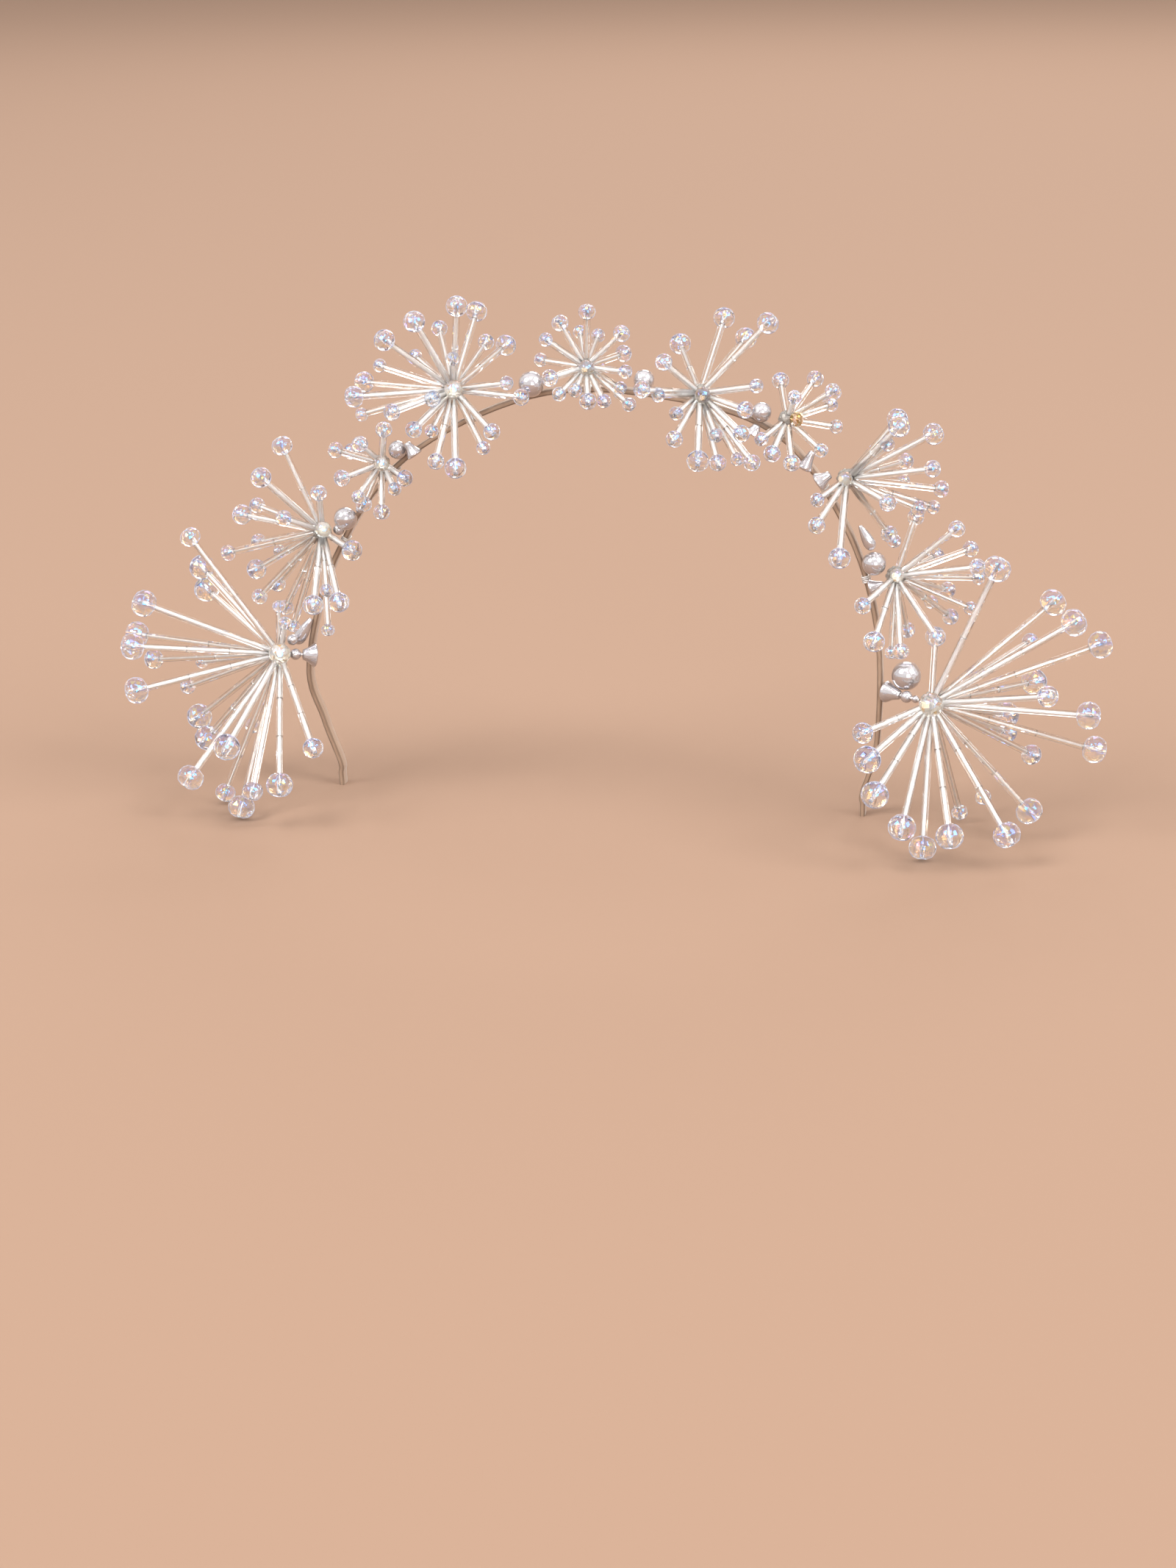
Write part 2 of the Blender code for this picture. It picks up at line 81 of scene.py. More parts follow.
MM = 0.001
UPWARD = Vector((0, 0, 1))


def colour(hex_value):
    """Linear red, green, blue and alpha of an sRGB hex colour."""
    shares = [int(hex_value[i:i + 2], 16) / 255 for i in (0, 2, 4)]
    return [s / 12.92 if s <= 0.04045 else ((s + 0.055) / 1.055) ** 2.4 for s in shares] + [1]


print("champagne in linear light:", [round(share, 3) for share in colour("B7A08C")])

# %% [markdown]
# ## The jeweller's charts
#
# The places of the band, the bursts and the pearls are the same that the solids were
# built from, so the glass beads lie where the solids are that they stand for. The
# alternative, measuring the finished meshes, would lose which ray a crystal belongs to.

# %% Chart of the band
BAND_WIDE = 4.0
BAND_THICK = 1.6
BAND_TIP_Y = 12.0
BAND_LEAN = -0.144
BAND_STEPS = 3
BAND_LINE = [
    # across, up
    (-81, 0), (-81, 4), (-81, 8), (-85, 22), (-88, 40), (-77, 74), (-53.5, 105.5), (-15, 125.3),
    (20, 126.6), (53.5, 117), (73, 91), (82.5, 60), (83, 25), (79, 8), (79, 4), (79, 0),
]


def smooth_line(points, steps):
    """Catmull-Rom line through the points, with a few steps between two of them."""
    line = []
    last = len(points) - 1
    for i in range(last):
        before = points[max(i - 1, 0)]
        start = points[i]
        end = points[i + 1]
        after = points[min(i + 2, last)]
        for step in range(steps):
            t = step / steps
            line.append(0.5 * (
                2 * start
                + (end - before) * t
                + (2 * before - 5 * start + 4 * end - after) * t ** 2
                + (3 * start - before - 3 * end + after) * t ** 3))
    line.append(points[last])
    return line


band_corners = [Vector((x, BAND_TIP_Y + BAND_LEAN * z, z)) for x, z in BAND_LINE]
band_line = smooth_line(band_corners, BAND_STEPS)


def band_place(along, out, forward):
    """Point beside the band, and the outward direction there."""
    for start, end in zip(band_line, band_line[1:]):
        run = end - start
        if along < run.length:
            break
        along -= run.length
    outward = Vector((-run.z, 0, run.x)).normalized()
    spot = start + run.normalized() * along
    return spot + outward * out - Vector((0, forward, 0)), outward


band_length = sum((end - start).length for start, end in zip(band_line, band_line[1:]))
print("band length in mm:", round(band_length, 1))

# %% Chart of the hubs and rays
BIG = 7.9
MIDDLE = 6.1
SMALL = 4.8
TINY = 4.0
CRYSTAL_HEIGHT = 0.8
SEAT_GAP = 0.3
VIEW_POINT = Vector((149.0, -710.0, 258.5))
HUBS = [
    # name, across, depth, up, hub radius, stone, stone across, stone up
    ("left_end", -93.6, -5.5, 45.7, 2.8, 6.6, 0.0, 0.0),
    ("left_low", -79.6, -3.0, 83.0, 2.8, 4.8, 0.4, 0.4),
    ("left_middle", -59.9, -6.0, 104.4, 2.4, 4.6, 0.0, -0.2),
    ("left_high", -37.2, -9.0, 126.8, 2.8, 5.4, 0.0, 0.0),
    ("top", 1.1, -10.0, 134.4, 2.4, 4.6, 0.2, -0.4),
    ("right_high", 33.2, -10.0, 127.9, 2.6, 4.6, 0.8, -0.6),
    ("right_middle", 57.2, -8.0, 121.1, 2.4, 4.2, 2.6, 0.0),
    ("right_low", 73.8, -6.0, 104.6, 2.8, 4.0, -0.4, 0.0),
    ("right_side", 87.9, -3.0, 76.7, 2.8, 4.0, 0.4, 0.2),
    ("right_end", 99.1, -4.0, 40.25, 3.4, 7.0, 0.0, -0.4),
]
RAYS = {
    # across, up, toward, crystal
    "left_end": [
        (-24.5, 35.5, 8, MIDDLE), (-39.0, 16.5, 14, BIG), (-41.5, 7.5, -14, BIG), (-43.0, 4.0, 10, BIG),
        (-37.0, 0.0, -26, MIDDLE), (-42.5, -9.0, 10, BIG), (-27.5, -8.5, -30, SMALL),
        (-24.5, -17.5, -30, BIG), (-22.5, -24.0, -26, BIG), (-28.0, -35.5, 6, BIG),
        (-17.0, -27.0, 28, BIG), (-18.0, -40.5, -10, MIDDLE), (-13.5, -45.0, 4, BIG),
        (-10.0, -40.5, 17, MIDDLE), (-2.0, -39.0, 20, BIG), (8.5, -28.5, 26, MIDDLE),
        (-9.0, -21.0, -34, SMALL), (-23.0, -1.5, -30, TINY), (-21.5, 26.5, -26, BIG),
        (-20.5, 20.0, -31, BIG), (2.0, 9.0, 7, TINY), (0.5, 14.0, 6, TINY)],
    "left_low": [
        (-10.5, 25.0, 8, MIDDLE), (-17.0, 16.0, 16, MIDDLE), (-23.0, 5.5, -14, MIDDLE),
        (-18.5, 8.0, -20, SMALL), (-11.0, 4.0, 13, SMALL), (-18.5, -2.5, -20, SMALL),
        (-27.5, -5.5, -6, SMALL), (-12.5, -5.5, -16, TINY), (-19.5, -10.5, -16, MIDDLE),
        (-13.5, -15.0, -18, SMALL), (-11.5, -22.0, -12, SMALL), (-3.5, -21.5, 17, MIDDLE),
        (0.5, -17.5, 14, TINY), (4.0, -21.0, 18, MIDDLE), (8.5, -6.0, 12, MIDDLE),
        (-0.5, 11.0, 12, SMALL), (0.5, -29.0, 6, TINY), (-19.0, -18.5, -10, SMALL),
        (-9.5, -27.5, -8, TINY)],
    "left_middle": [
        (-11.5, -4.0, 8, SMALL), (-6.0, 5.5, 8, SMALL), (-8.5, 3.5, -10, SMALL),
        (-13.0, 4.0, -5, SMALL), (1.0, 9.5, 9, SMALL), (-0.5, -14.0, 6, SMALL),
        (6.5, -4.5, 8, SMALL), (3.5, -7.5, 9, TINY), (-7.0, -9.5, 8, TINY), (-5.5, -11.5, 2, SMALL)],
    "left_high": [
        (-10.5, 19.0, 19, MIDDLE), (-19.0, 14.0, 16, MIDDLE), (-28.0, -1.5, 6, MIDDLE),
        (1.5, 23.0, 16, MIDDLE), (7.0, 21.5, -14, MIDDLE), (15.0, 12.0, -18, MIDDLE),
        (-3.5, 17.0, -20, SMALL), (9.5, 13.0, -20, SMALL), (-10.5, 9.5, -15, TINY),
        (-20.5, 7.0, -12, TINY), (-25.0, 2.5, -12, MIDDLE), (-17.5, -6.0, 14, SMALL),
        (-26.0, -6.5, -6, TINY), (-11.5, -11.0, 12, SMALL), (-6.0, -2.5, 7, SMALL),
        (-6.5, -11.5, 6, TINY), (-5.5, -20.0, 16, SMALL), (0.0, -22.0, 18, MIDDLE),
        (10.5, -12.0, 17, SMALL), (8.0, -16.5, 14, TINY), (15.0, 1.5, 10, TINY),
        (19.0, -2.5, 12, SMALL), (0.0, 8.5, 9, TINY)],
    "top": [
        (0.5, 15.0, 4, SMALL), (-7.0, 12.0, 6, SMALL), (-11.0, 7.5, 8, TINY), (-12.5, 2.0, -8, TINY),
        (-10.0, -3.0, 10, SMALL), (10.0, 9.0, 8, SMALL), (10.5, 3.5, -8, SMALL), (11.0, -1.5, 8, TINY),
        (9.5, -6.0, 4, TINY), (12.0, -10.5, 6, TINY), (5.0, -9.5, 9, TINY), (0.5, -9.5, 10, SMALL),
        (-7.5, -7.5, 8, TINY), (-3.0, -6.5, 7, TINY), (3.5, 8.5, -11, TINY), (-1.5, 9.5, -11, TINY)],
    "right_high": [
        (6.5, 20.5, -16, MIDDLE), (18.5, 19.0, 12, MIDDLE), (12.5, 15.0, -14, MIDDLE),
        (-5.5, 13.5, -20, MIDDLE), (-10.0, 8.5, 14, SMALL), (15.5, 2.0, 13, TINY),
        (12.5, -4.5, 11, SMALL), (11.5, -11.0, 14, SMALL), (14.5, -19.0, 14, SMALL),
        (-0.5, -18.5, 19, MIDDLE), (5.0, -19.0, 14, SMALL), (-6.5, -5.5, 8, TINY),
        (-7.0, -12.5, 14, SMALL), (4.5, -11.5, 10, TINY), (10.5, -18.0, 8, TINY),
        (-11.5, -0.5, 12, TINY), (-16.0, 1.0, 16, SMALL)],
    "right_middle": [
        (-2.0, 10.5, -8, SMALL), (7.5, 11.0, -6, SMALL), (12.5, 7.5, 4, SMALL), (12.0, 4.0, -8, TINY),
        (13.5, -2.0, -6, TINY), (2.0, 6.0, 6, TINY), (1.5, -12.0, 9, SMALL), (-4.0, -9.5, 10, SMALL),
        (9.5, -8.5, 6, TINY), (-7.0, -5.5, 8, TINY)],
    "right_low": [
        (13.5, 16.5, -18, MIDDLE), (14.0, 14.5, 18, MIDDLE), (23.5, 12.5, 11, MIDDLE),
        (23.5, 3.0, 12, SMALL), (26.0, -2.5, -8, SMALL), (24.0, -7.5, -12, TINY),
        (20.0, -8.0, -8, SMALL), (11.5, -6.5, 12, SMALL), (15.5, -0.5, -16, TINY),
        (16.0, 5.0, -18, SMALL), (11.0, 9.5, 12, TINY), (12.0, -15.0, -10, SMALL),
        (-1.5, -22.0, 18, MIDDLE), (-8.0, -13.0, 16, SMALL), (-8.0, -6.0, 10, TINY),
        (13.5, -17.0, -16, TINY)],
    "right_side": [
        (16.5, 13.5, 12, SMALL), (20.5, 8.0, -12, SMALL), (22.5, 3.0, 12, SMALL), (23.0, 0.0, 2, TINY),
        (21.0, -8.5, -10, TINY), (15.5, -11.0, -16, SMALL), (14.5, -3.5, -18, SMALL),
        (10.0, -7.0, -16, TINY), (12.0, -17.0, 14, SMALL), (3.5, -15.0, -14, SMALL),
        (2.0, -21.0, 12, SMALL), (-0.5, -21.5, 4, TINY), (-9.0, -8.5, 14, SMALL),
        (-5.5, -18.5, 14, MIDDLE), (11.0, 6.0, -16, SMALL), (5.0, 16.5, -16, SMALL)],
    "right_end": [
        (17.0, 38.5, 16, BIG), (33.0, 29.5, -4, BIG), (39.0, 24.0, 10, BIG), (46.5, 18.0, -4, BIG),
        (44.0, -2.0, 10, BIG), (46.0, -11.5, -4, BIG), (32.5, 3.0, 24, MIDDLE), (28.5, 7.0, -30, BIG),
        (27.0, 18.5, -28, SMALL), (28.5, -13.5, -28, MIDDLE), (21.0, -2.5, -36, BIG),
        (21.5, -7.5, -30, MIDDLE), (28.5, -29.5, -8, BIG), (22.5, -36.5, 14, BIG),
        (6.5, -37.5, 20, BIG), (-1.0, -41.0, 8, BIG), (-7.0, -35.5, 24, BIG), (-15.0, -26.5, 25, BIG),
        (-17.5, -16.5, 22, BIG), (-19.0, -9.0, 19, MIDDLE), (9.0, -30.5, -24, SMALL),
        (15.5, -26.0, -30, SMALL), (0.5, 19.0, -34, MIDDLE)],
}


def view_axes(hub):
    """Across, up and toward, as seen at a hub from the view point."""
    toward = (VIEW_POINT - hub).normalized()
    across = UPWARD.cross(toward).normalized()
    return across, toward.cross(across), toward


def ray_end(hub, across, up, toward):
    """Middle of a ray's crystal; what lies nearer the view point looks larger."""
    right, high, near = view_axes(hub)
    shrink = 1 - toward / (VIEW_POINT - hub).length
    return hub + (right * across + high * up) * shrink + near * toward


print("rays:", sum(len(rays) for rays in RAYS.values()))

# %% Chart of the pearls
ROUND_PEARLS = [
    # name, along the band, out, size
    ("left_low", 87.0, 2.7, 3.3),
    ("left_large", 92.2, 2.1, 6.8),
    ("left_small", 96.9, 0.3, 2.7),
    ("left_middle", 118.2, 3.3, 5.4),
    ("top_left", 162.4, 3.8, 7.2),
    ("top_right", 193.1, 4.0, 5.8),
    ("right_high", 225.8, 3.8, 5.6),
    ("right_side", 277.6, 4.0, 6.8),
]
TURNED_PEARLS = [
    # name, shape, along, out, forward, tilt, width, length
    ("trumpet_left_middle", "trumpet", 122.2, -1.0, 4.8, 0, 4.8, 4.6),
    ("trumpet_right_high", "trumpet", 226.4, -2.4, 4.8, 0, 4.8, 3.0),
    ("trumpet_right_first", "trumpet", 244.6, -0.8, 4.6, 30, 4.4, 5.6),
    ("trumpet_right_second", "trumpet", 249.8, 0.2, 5.2, 0, 5.4, 4.4),
    ("trumpet_right_side", "trumpet", 284.1, 0.8, 4.8, 0, 4.8, 4.4),
    ("drop_right_low", "drop", 274.2, 4.8, 3.0, 96, 3.4, 7.7),
    ("drop_left_end", "drop", 47.8, 4.2, 3.5, 111, 4.0, 9.4),
]
HELD_PEARLS = [
    # name, across, depth, up, size
    ("left_end_high", -90.6, -2.0, 49.2, 3.4),
    ("right_end_large", 91.1, 4.1, 45.7, 8.5),
]
STRINGS = {
    # hub: (start, trumpet width, trumpet length, pearls)
    "left_end": ((-84.2, 0.0, 44.2), 7.4, 4.2, (3.4,)),
    "right_end": ((85.2, 4.6, 40.6), 6.4, 5.6, (3.5, 2.2)),
}

# %% [markdown]
# ## One frame for charts and solids
#
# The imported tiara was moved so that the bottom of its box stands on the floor. A held
# pearl is round, so the middle of its box is its centre, and the difference from its
# charted place is the shift for everything else.

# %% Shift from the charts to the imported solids
held_low, held_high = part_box("pearl_" + HELD_PEARLS[0][0])
shift = (Vector(held_low) + Vector(held_high)) / 2 / MM - Vector(HELD_PEARLS[0][1:4])
to_frame = Matrix.Scale(MM, 4) @ Matrix.Translation(shift)
print("shift in mm:", [round(way, 3) for way in shift])

# %% [markdown]
# ## Turned shapes
#
# Tubes, beads, crystals and pearls are all turned: a profile of heights and radii goes
# round an axis. A Screw modifier could do it, but hundreds of beads in one mesh are
# quicker to make directly. Rings may be set half a step round from each other, which
# gives the triangular facets of a cut bead. Every face gets a map in real millimetres
# (along the axis, round it) for the patterns, and a chance value for its own tint.

# %% Turned shapes
def aim(direction):
    """Rotation that turns +Z to a direction."""
    return UPWARD.rotation_difference(direction).to_matrix().to_4x4()


def new_mesh():
    """Empty mesh in the making, with its map and its tint layers."""
    bm = bmesh.new()
    bm.loops.layers.uv.new("millimetres")
    bm.faces.layers.float.new("tint")
    return bm


def turn(bm, place, profile, sides, start=0.0, material=0, luck=None, drilled=False):
    """Adds a closed turned shape. Its profile rows are (height, radius) along its own +Z,
    with a third value of 0.5 for a row set half a step round. A drilled shape's last row
    joins its first, so the rows between go round the outside and back through the hole."""
    uv = bm.loops.layers.uv["millimetres"]
    tints = bm.faces.layers.float["tint"]
    rows = [(*row, 0)[:3] for row in profile]
    rings = []
    run = 0.0
    before = rows[0]
    for height, radius, shift_round in rows + rows[:1] * drilled:
        run += sqrt((height - before[0]) ** 2 + (radius - before[1]) ** 2)
        before = (height, radius)
        ring = []
        for i in range(sides if radius else 1):
            angle = start + tau * (i + shift_round) / sides
            spot = Vector((radius * cos(angle), radius * sin(angle), height))
            ring.append(place @ spot)
        rings.append((ring, run, radius, shift_round))
    corners_made = [[bm.verts.new(spot) for spot in ring] for ring, *_ in rings[:len(rows)]]
    corners_made += corners_made[:1] * drilled

    def add(corners, spots):
        face = bm.faces.new(corners)
        face.material_index = material
        face[tints] = luck.random() if luck else 0.5
        for loop, spot in zip(face.loops, spots):
            loop[uv].uv = spot
        return face

    for row in range(len(rings) - 1):
        low, high = corners_made[row], corners_made[row + 1]
        (_, low_run, low_radius, low_shift), (_, high_run, high_radius, high_shift) = rings[row:row + 2]
        girth = tau * max(low_radius, high_radius) / sides
        for i in range(sides):
            after = (i + 1) % sides
            a, b = low[i % len(low)], low[after % len(low)]
            c, d = high[after % len(high)], high[i % len(high)]
            left, right = i * girth, (i + 1) * girth
            spots = [(low_run, left), (low_run, right), (high_run, right), (high_run, left)]
            if a == b:
                add([a, c, d], [spots[0], spots[2], spots[3]])
            elif c == d:
                add([a, b, c], spots[:3])
            elif low_shift == high_shift:
                add([a, b, c, d], spots)
            elif low_shift < high_shift:
                add([a, b, d], [spots[0], spots[1], spots[3]])
                add([b, c, d], spots[1:])
            else:
                add([a, c, d], [spots[0], spots[2], spots[3]])
                add([a, b, c], spots[:3])
    for row in (0, -1) if not drilled else ():
        ring, run, radius, _ = rings[row]
        if radius:
            rim = [(run + radius * cos(tau * i / sides), radius * sin(tau * i / sides)) for i in range(sides)]
            cap = add(corners_made[row][::-1] if row == 0 else corners_made[row], rim)
            cap[tints] = 0.5


def ball_profile(radius, rows, squash=1.0):
    """Profile of a round bead from pole to pole."""
    angles = [pi * row / rows for row in range(rows + 1)]
    profile = [(-radius * squash * cos(angle), radius * sin(angle)) for angle in angles]
    profile[0] = (profile[0][0], 0)
    profile[-1] = (profile[-1][0], 0)
    return profile


pieces = []


def pillow(mesh, share):
    """Rounds each facet a little by turning its corners' normals toward the smooth ones."""
    mesh.shade_smooth()
    corners = []
    for face in mesh.polygons:
        for vertex in face.vertices:
            smooth = mesh.vertex_normals[vertex].vector
            corners.append(face.normal.lerp(smooth, share).normalized())
    mesh.normals_split_custom_set(corners)


def finish_piece(name, bm, materials, nodes, smooth_angle=None, facet_roundness=0.0):
    """Turns a mesh in the making into a piece that rides on the tiara."""
    bmesh.ops.recalc_face_normals(bm, faces=bm.faces)
    mesh = bpy.data.meshes.new(name)
    bm.to_mesh(mesh)
    bm.free()
    mesh.transform(to_frame)
    for material in materials:
        mesh.materials.append(material)
    if smooth_angle:
        mesh.shade_smooth()
        mesh.set_sharp_from_angle(angle=radians(smooth_angle))
    if facet_roundness:
        pillow(mesh, facet_roundness)
    piece = bpy.data.objects.new(name, mesh)
    bpy.context.scene.collection.objects.link(piece)
    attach(piece, "root")
    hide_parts(*nodes)
    pieces.append(piece)


print("profile of a round bead:", [tuple(round(way, 2) for way in spot) for spot in ball_profile(1, 4)])

# %% [markdown]
# ## Nodes for the finishes
#
# Every finish is one Principled shader fed by small patterns. One helper adds a node,
# sets its options and its sockets, and links whatever is itself a socket.

# %% A helper for nodes
def add_node(tree, kind, sockets=None, **options):
    """Adds a node, sets its options, then sets or links its input sockets."""
    node = tree.nodes.new(kind)
    for option, value in options.items():
        setattr(node, option, value)
    for socket, value in (sockets or {}).items():
        if isinstance(value, bpy.types.NodeSocket):
            tree.links.new(value, node.inputs[socket])
        else:
            node.inputs[socket].default_value = value
    return node


def new_finish(name, **sockets):
    """A material with one Principled shader whose sockets are set by name."""
    material = bpy.data.materials.new(name)
    material.use_nodes = True
    shader = material.node_tree.nodes["Principled BSDF"]
    for socket, value in sockets.items():
        shader.inputs[socket.replace("_", " ")].default_value = value
    return material, material.node_tree, shader


def millimetre_map(tree, along, around):
    """Map of a piece in real millimetres, scaled to one pattern step each way."""
    source = add_node(tree, "ShaderNodeUVMap", uv_map="millimetres")
    scaled = add_node(tree, "ShaderNodeVectorMath", {0: source.outputs["UV"], 1: (1 / along, 1 / around, 1)},
                      operation="MULTIPLY")
    return scaled.outputs["Vector"]


# %% [markdown]
# ## Drawn glass of the tubes
#
# Bugle beads are cut from a drawn cane of clear soda-lime glass, so fine lines run along
# them and their skin is fire-polished. Soda-lime glass has an IOR of about 1.5; it is 1.46
# here, because a pierced bead looks clearer than a solid one. The draw lines are 0.1 mm or
# finer; they are drawn 0.25 mm apart here so that they show. A faint sheen brightens the
# glass where it turns away.

# %% Drawn soda-lime glass
DRAW_LINE = 0.25
DRAW_WAVE = 6.0

drawn_glass, tree, shader = new_finish(
    "drawn soda-lime glass", IOR=1.46, Transmission_Weight=1.0, Roughness=0.03,
    Sheen_Weight=0.3, Sheen_Roughness=0.25, Sheen_Tint=colour("F6F3F1"))
lines = add_node(tree, "ShaderNodeTexNoise", {
    "Vector": millimetre_map(tree, DRAW_WAVE, DRAW_LINE), "Scale": 1.0, "Detail": 1.0})
tones = add_node(tree, "ShaderNodeValToRGB", {"Fac": lines.outputs["Fac"]})
tones.color_ramp.elements[0].color = colour("FDFCFA")
tones.color_ramp.elements[1].color = colour("FFFFFF")
bump = add_node(tree, "ShaderNodeBump", {
    "Height": lines.outputs["Fac"], "Strength": 0.03, "Distance": 0.02 * MM})
tree.links.new(tones.outputs["Color"], shader.inputs["Base Color"])
tree.links.new(bump.outputs["Normal"], shader.inputs["Normal"])

# %% [markdown]
# ## The silver lining of the tubes
#
# The hole of a lined tube is silvered, then lacquered. Seen through the glass it fills about half of the
# tube's width. A mirror there would show whatever it faces, dark or light, so the lining is set pale and half
# matt instead: its white streak is partly the silver and partly a painted highlight.
# The silver is thin and a little uneven along the tube.

# %% Chemical silver lining
PATCH_LENGTH = 4.0
PATCH_WIDTH = 0.6

# The lining's pale colour is partly the silver and partly a painted highlight streak.
lining_with_painted_streak, tree, shader = new_finish(
    "silver lining with painted highlight", Metallic=0.35, Roughness=0.35)
patches = add_node(tree, "ShaderNodeTexNoise", {
    "Vector": millimetre_map(tree, PATCH_LENGTH, PATCH_WIDTH), "Scale": 1.0, "Detail": 2.0})
tones = add_node(tree, "ShaderNodeValToRGB", {"Fac": patches.outputs["Fac"]})
tones.color_ramp.elements[0].color = colour("F1F0EF")
tones.color_ramp.elements[1].color = colour("FFFFFF")
tree.links.new(tones.outputs["Color"], shader.inputs["Base Color"])

# %% [markdown]
# ## Silvered copper wire
#
# Beads are strung on craft wire: copper with a thin silver skin, drawn through a die.
# Silver is one of the brightest metals; the die leaves it slightly satin.

# %% Silvered drawn wire
DIE_MARK_LENGTH = 3.0
DIE_MARK_WIDTH = 0.1

silver_wire, tree, shader = new_finish(
    "silvered drawn wire", Metallic=0.8, Roughness=0.35)
streaks = add_node(tree, "ShaderNodeTexNoise", {
    "Vector": millimetre_map(tree, DIE_MARK_LENGTH, DIE_MARK_WIDTH), "Scale": 1.0, "Detail": 2.0})
tones = add_node(tree, "ShaderNodeValToRGB", {"Fac": streaks.outputs["Fac"]})
tones.color_ramp.elements[0].color = colour("D2D0CE")
tones.color_ramp.elements[1].color = colour("F2F1F0")
tree.links.new(tones.outputs["Color"], shader.inputs["Base Color"])

# %% [markdown]
# ## Rainbow-coated crystal
#
# The cut crystals carry a metal-oxide coat, laid on in a vacuum. Light that bounces from
# its two faces adds up to blue, violet or gold, as in a soap film. The Principled shader
# has such a thin film. The coat is never even, so each facet has its own thickness and a
# faint tint: one facet in ten is thicker and golden, the rest white or pale blue. The IOR
# is lowered to 1.38, because a drilled bead looks clearer than a solid one, and a pale
# blue sheen brightens the facets that turn away.

# %% Coated crystal glass
GOLDEN_FACETS_FROM = 0.9
COAT_THINNEST = 172.0
COAT_THICKEST = 198.0
GOLDEN_COAT_EXTRA = 50.0

coated_crystal, tree, shader = new_finish(
    "coated crystal glass", IOR=1.38, Transmission_Weight=1.0, Roughness=0.015,
    Thin_Film_IOR=1.75, Sheen_Weight=1.0, Sheen_Roughness=0.36, Sheen_Tint=colour("C8DAFF"))
facet = add_node(tree, "ShaderNodeAttribute", attribute_name="tint")
coat = add_node(tree, "ShaderNodeMapRange", {
    "Value": facet.outputs["Fac"], "To Min": COAT_THINNEST, "To Max": COAT_THICKEST})
golden = add_node(tree, "ShaderNodeMath", {
    0: facet.outputs["Fac"], 1: GOLDEN_FACETS_FROM}, operation="GREATER_THAN")
thicker = add_node(tree, "ShaderNodeMath", {
    0: golden.outputs["Value"], 1: GOLDEN_COAT_EXTRA, 2: coat.outputs["Result"]},
    operation="MULTIPLY_ADD")
tree.links.new(thicker.outputs["Value"], shader.inputs["Thin Film Thickness"])
tones = add_node(tree, "ShaderNodeValToRGB", {"Fac": facet.outputs["Fac"]})
tones.color_ramp.elements[0].color = colour("CFD8FA")
tones.color_ramp.elements[1].color = colour("FBE7C8")
for place, tone in ((0.5, "FFFFFF"), (GOLDEN_FACETS_FROM, "FFFFFF")):
    tones.color_ramp.elements.new(place).color = colour(tone)
tree.links.new(tones.outputs["Color"], shader.inputs["Base Color"])

# %% [markdown]
# ## Finish of the middle stones
#
# The middle stones have the same kind of coat. About one facet in eight leans toward a
# fleck colour, and the others run from the body colour to white. One stone is golden.

# %% Coated crystal of the middle stones
FLECK_SHARE = 0.12


def stone_finish(name, flecks, body, thinnest, thickest):
    """Coated crystal with a few coloured flecks; each facet's coat has its own thickness."""
    material, tree, shader = new_finish(
        name, IOR=1.5, Transmission_Weight=0.94, Roughness=0.02, Thin_Film_IOR=1.85)
    facet = add_node(tree, "ShaderNodeAttribute", attribute_name="tint")
    coat = add_node(tree, "ShaderNodeMapRange", {
        "Value": facet.outputs["Fac"], "To Min": thinnest, "To Max": thickest})
    tree.links.new(coat.outputs["Result"], shader.inputs["Thin Film Thickness"])
    tones = add_node(tree, "ShaderNodeValToRGB", {"Fac": facet.outputs["Fac"]})
    tones.color_ramp.elements[0].color = colour(flecks)
    tones.color_ramp.elements[1].color = colour("FFFFFF")
    middle = tones.color_ramp.elements.new(FLECK_SHARE)
    middle.color = colour(body)
    tree.links.new(tones.outputs["Color"], shader.inputs["Base Color"])
    return material


clear_stone = stone_finish("coated crystal of the middle stones", "E3AC55", "FAF6EF", 150.0, 190.0)
golden_stone = stone_finish("coated golden crystal", "8A4A12", "E39A3E", 248.0, 264.0)

# %% [markdown]
# ## Seed beads with a silver lining
#
# Seed beads are slices of a thin cane, tumbled round in the fire. Here they make up the
# knot at each hub, the stop bead at each tip and the crimps. The silver in their holes is
# mixed into the glass: most of the light passes through and the rest meets a soft grey.

# %% Silver-lined seed glass
SEED_CLOUD = 0.8

seed_glass, tree, shader = new_finish(
    "silver-lined seed glass", IOR=1.45, Transmission_Weight=0.7, Roughness=0.08)
cloud = add_node(tree, "ShaderNodeTexNoise", {
    "Vector": millimetre_map(tree, SEED_CLOUD, SEED_CLOUD), "Scale": 1.0, "Detail": 1.0})
tones = add_node(tree, "ShaderNodeValToRGB", {"Fac": cloud.outputs["Fac"]})
tones.color_ramp.elements[0].color = colour("BDB6AE")
tones.color_ramp.elements[1].color = colour("DEDAD4")
tree.links.new(tones.outputs["Color"], shader.inputs["Base Color"])

# %% [markdown]
# ## Pearl lacquer
#
# Glass pearls are dipped again and again in a lacquer with pearl essence. It gives them
# a soft grey body with a faint violet cast, and a wet gloss.

# %% Grey pearl lacquer
PEARL_CLOUD = 2.0

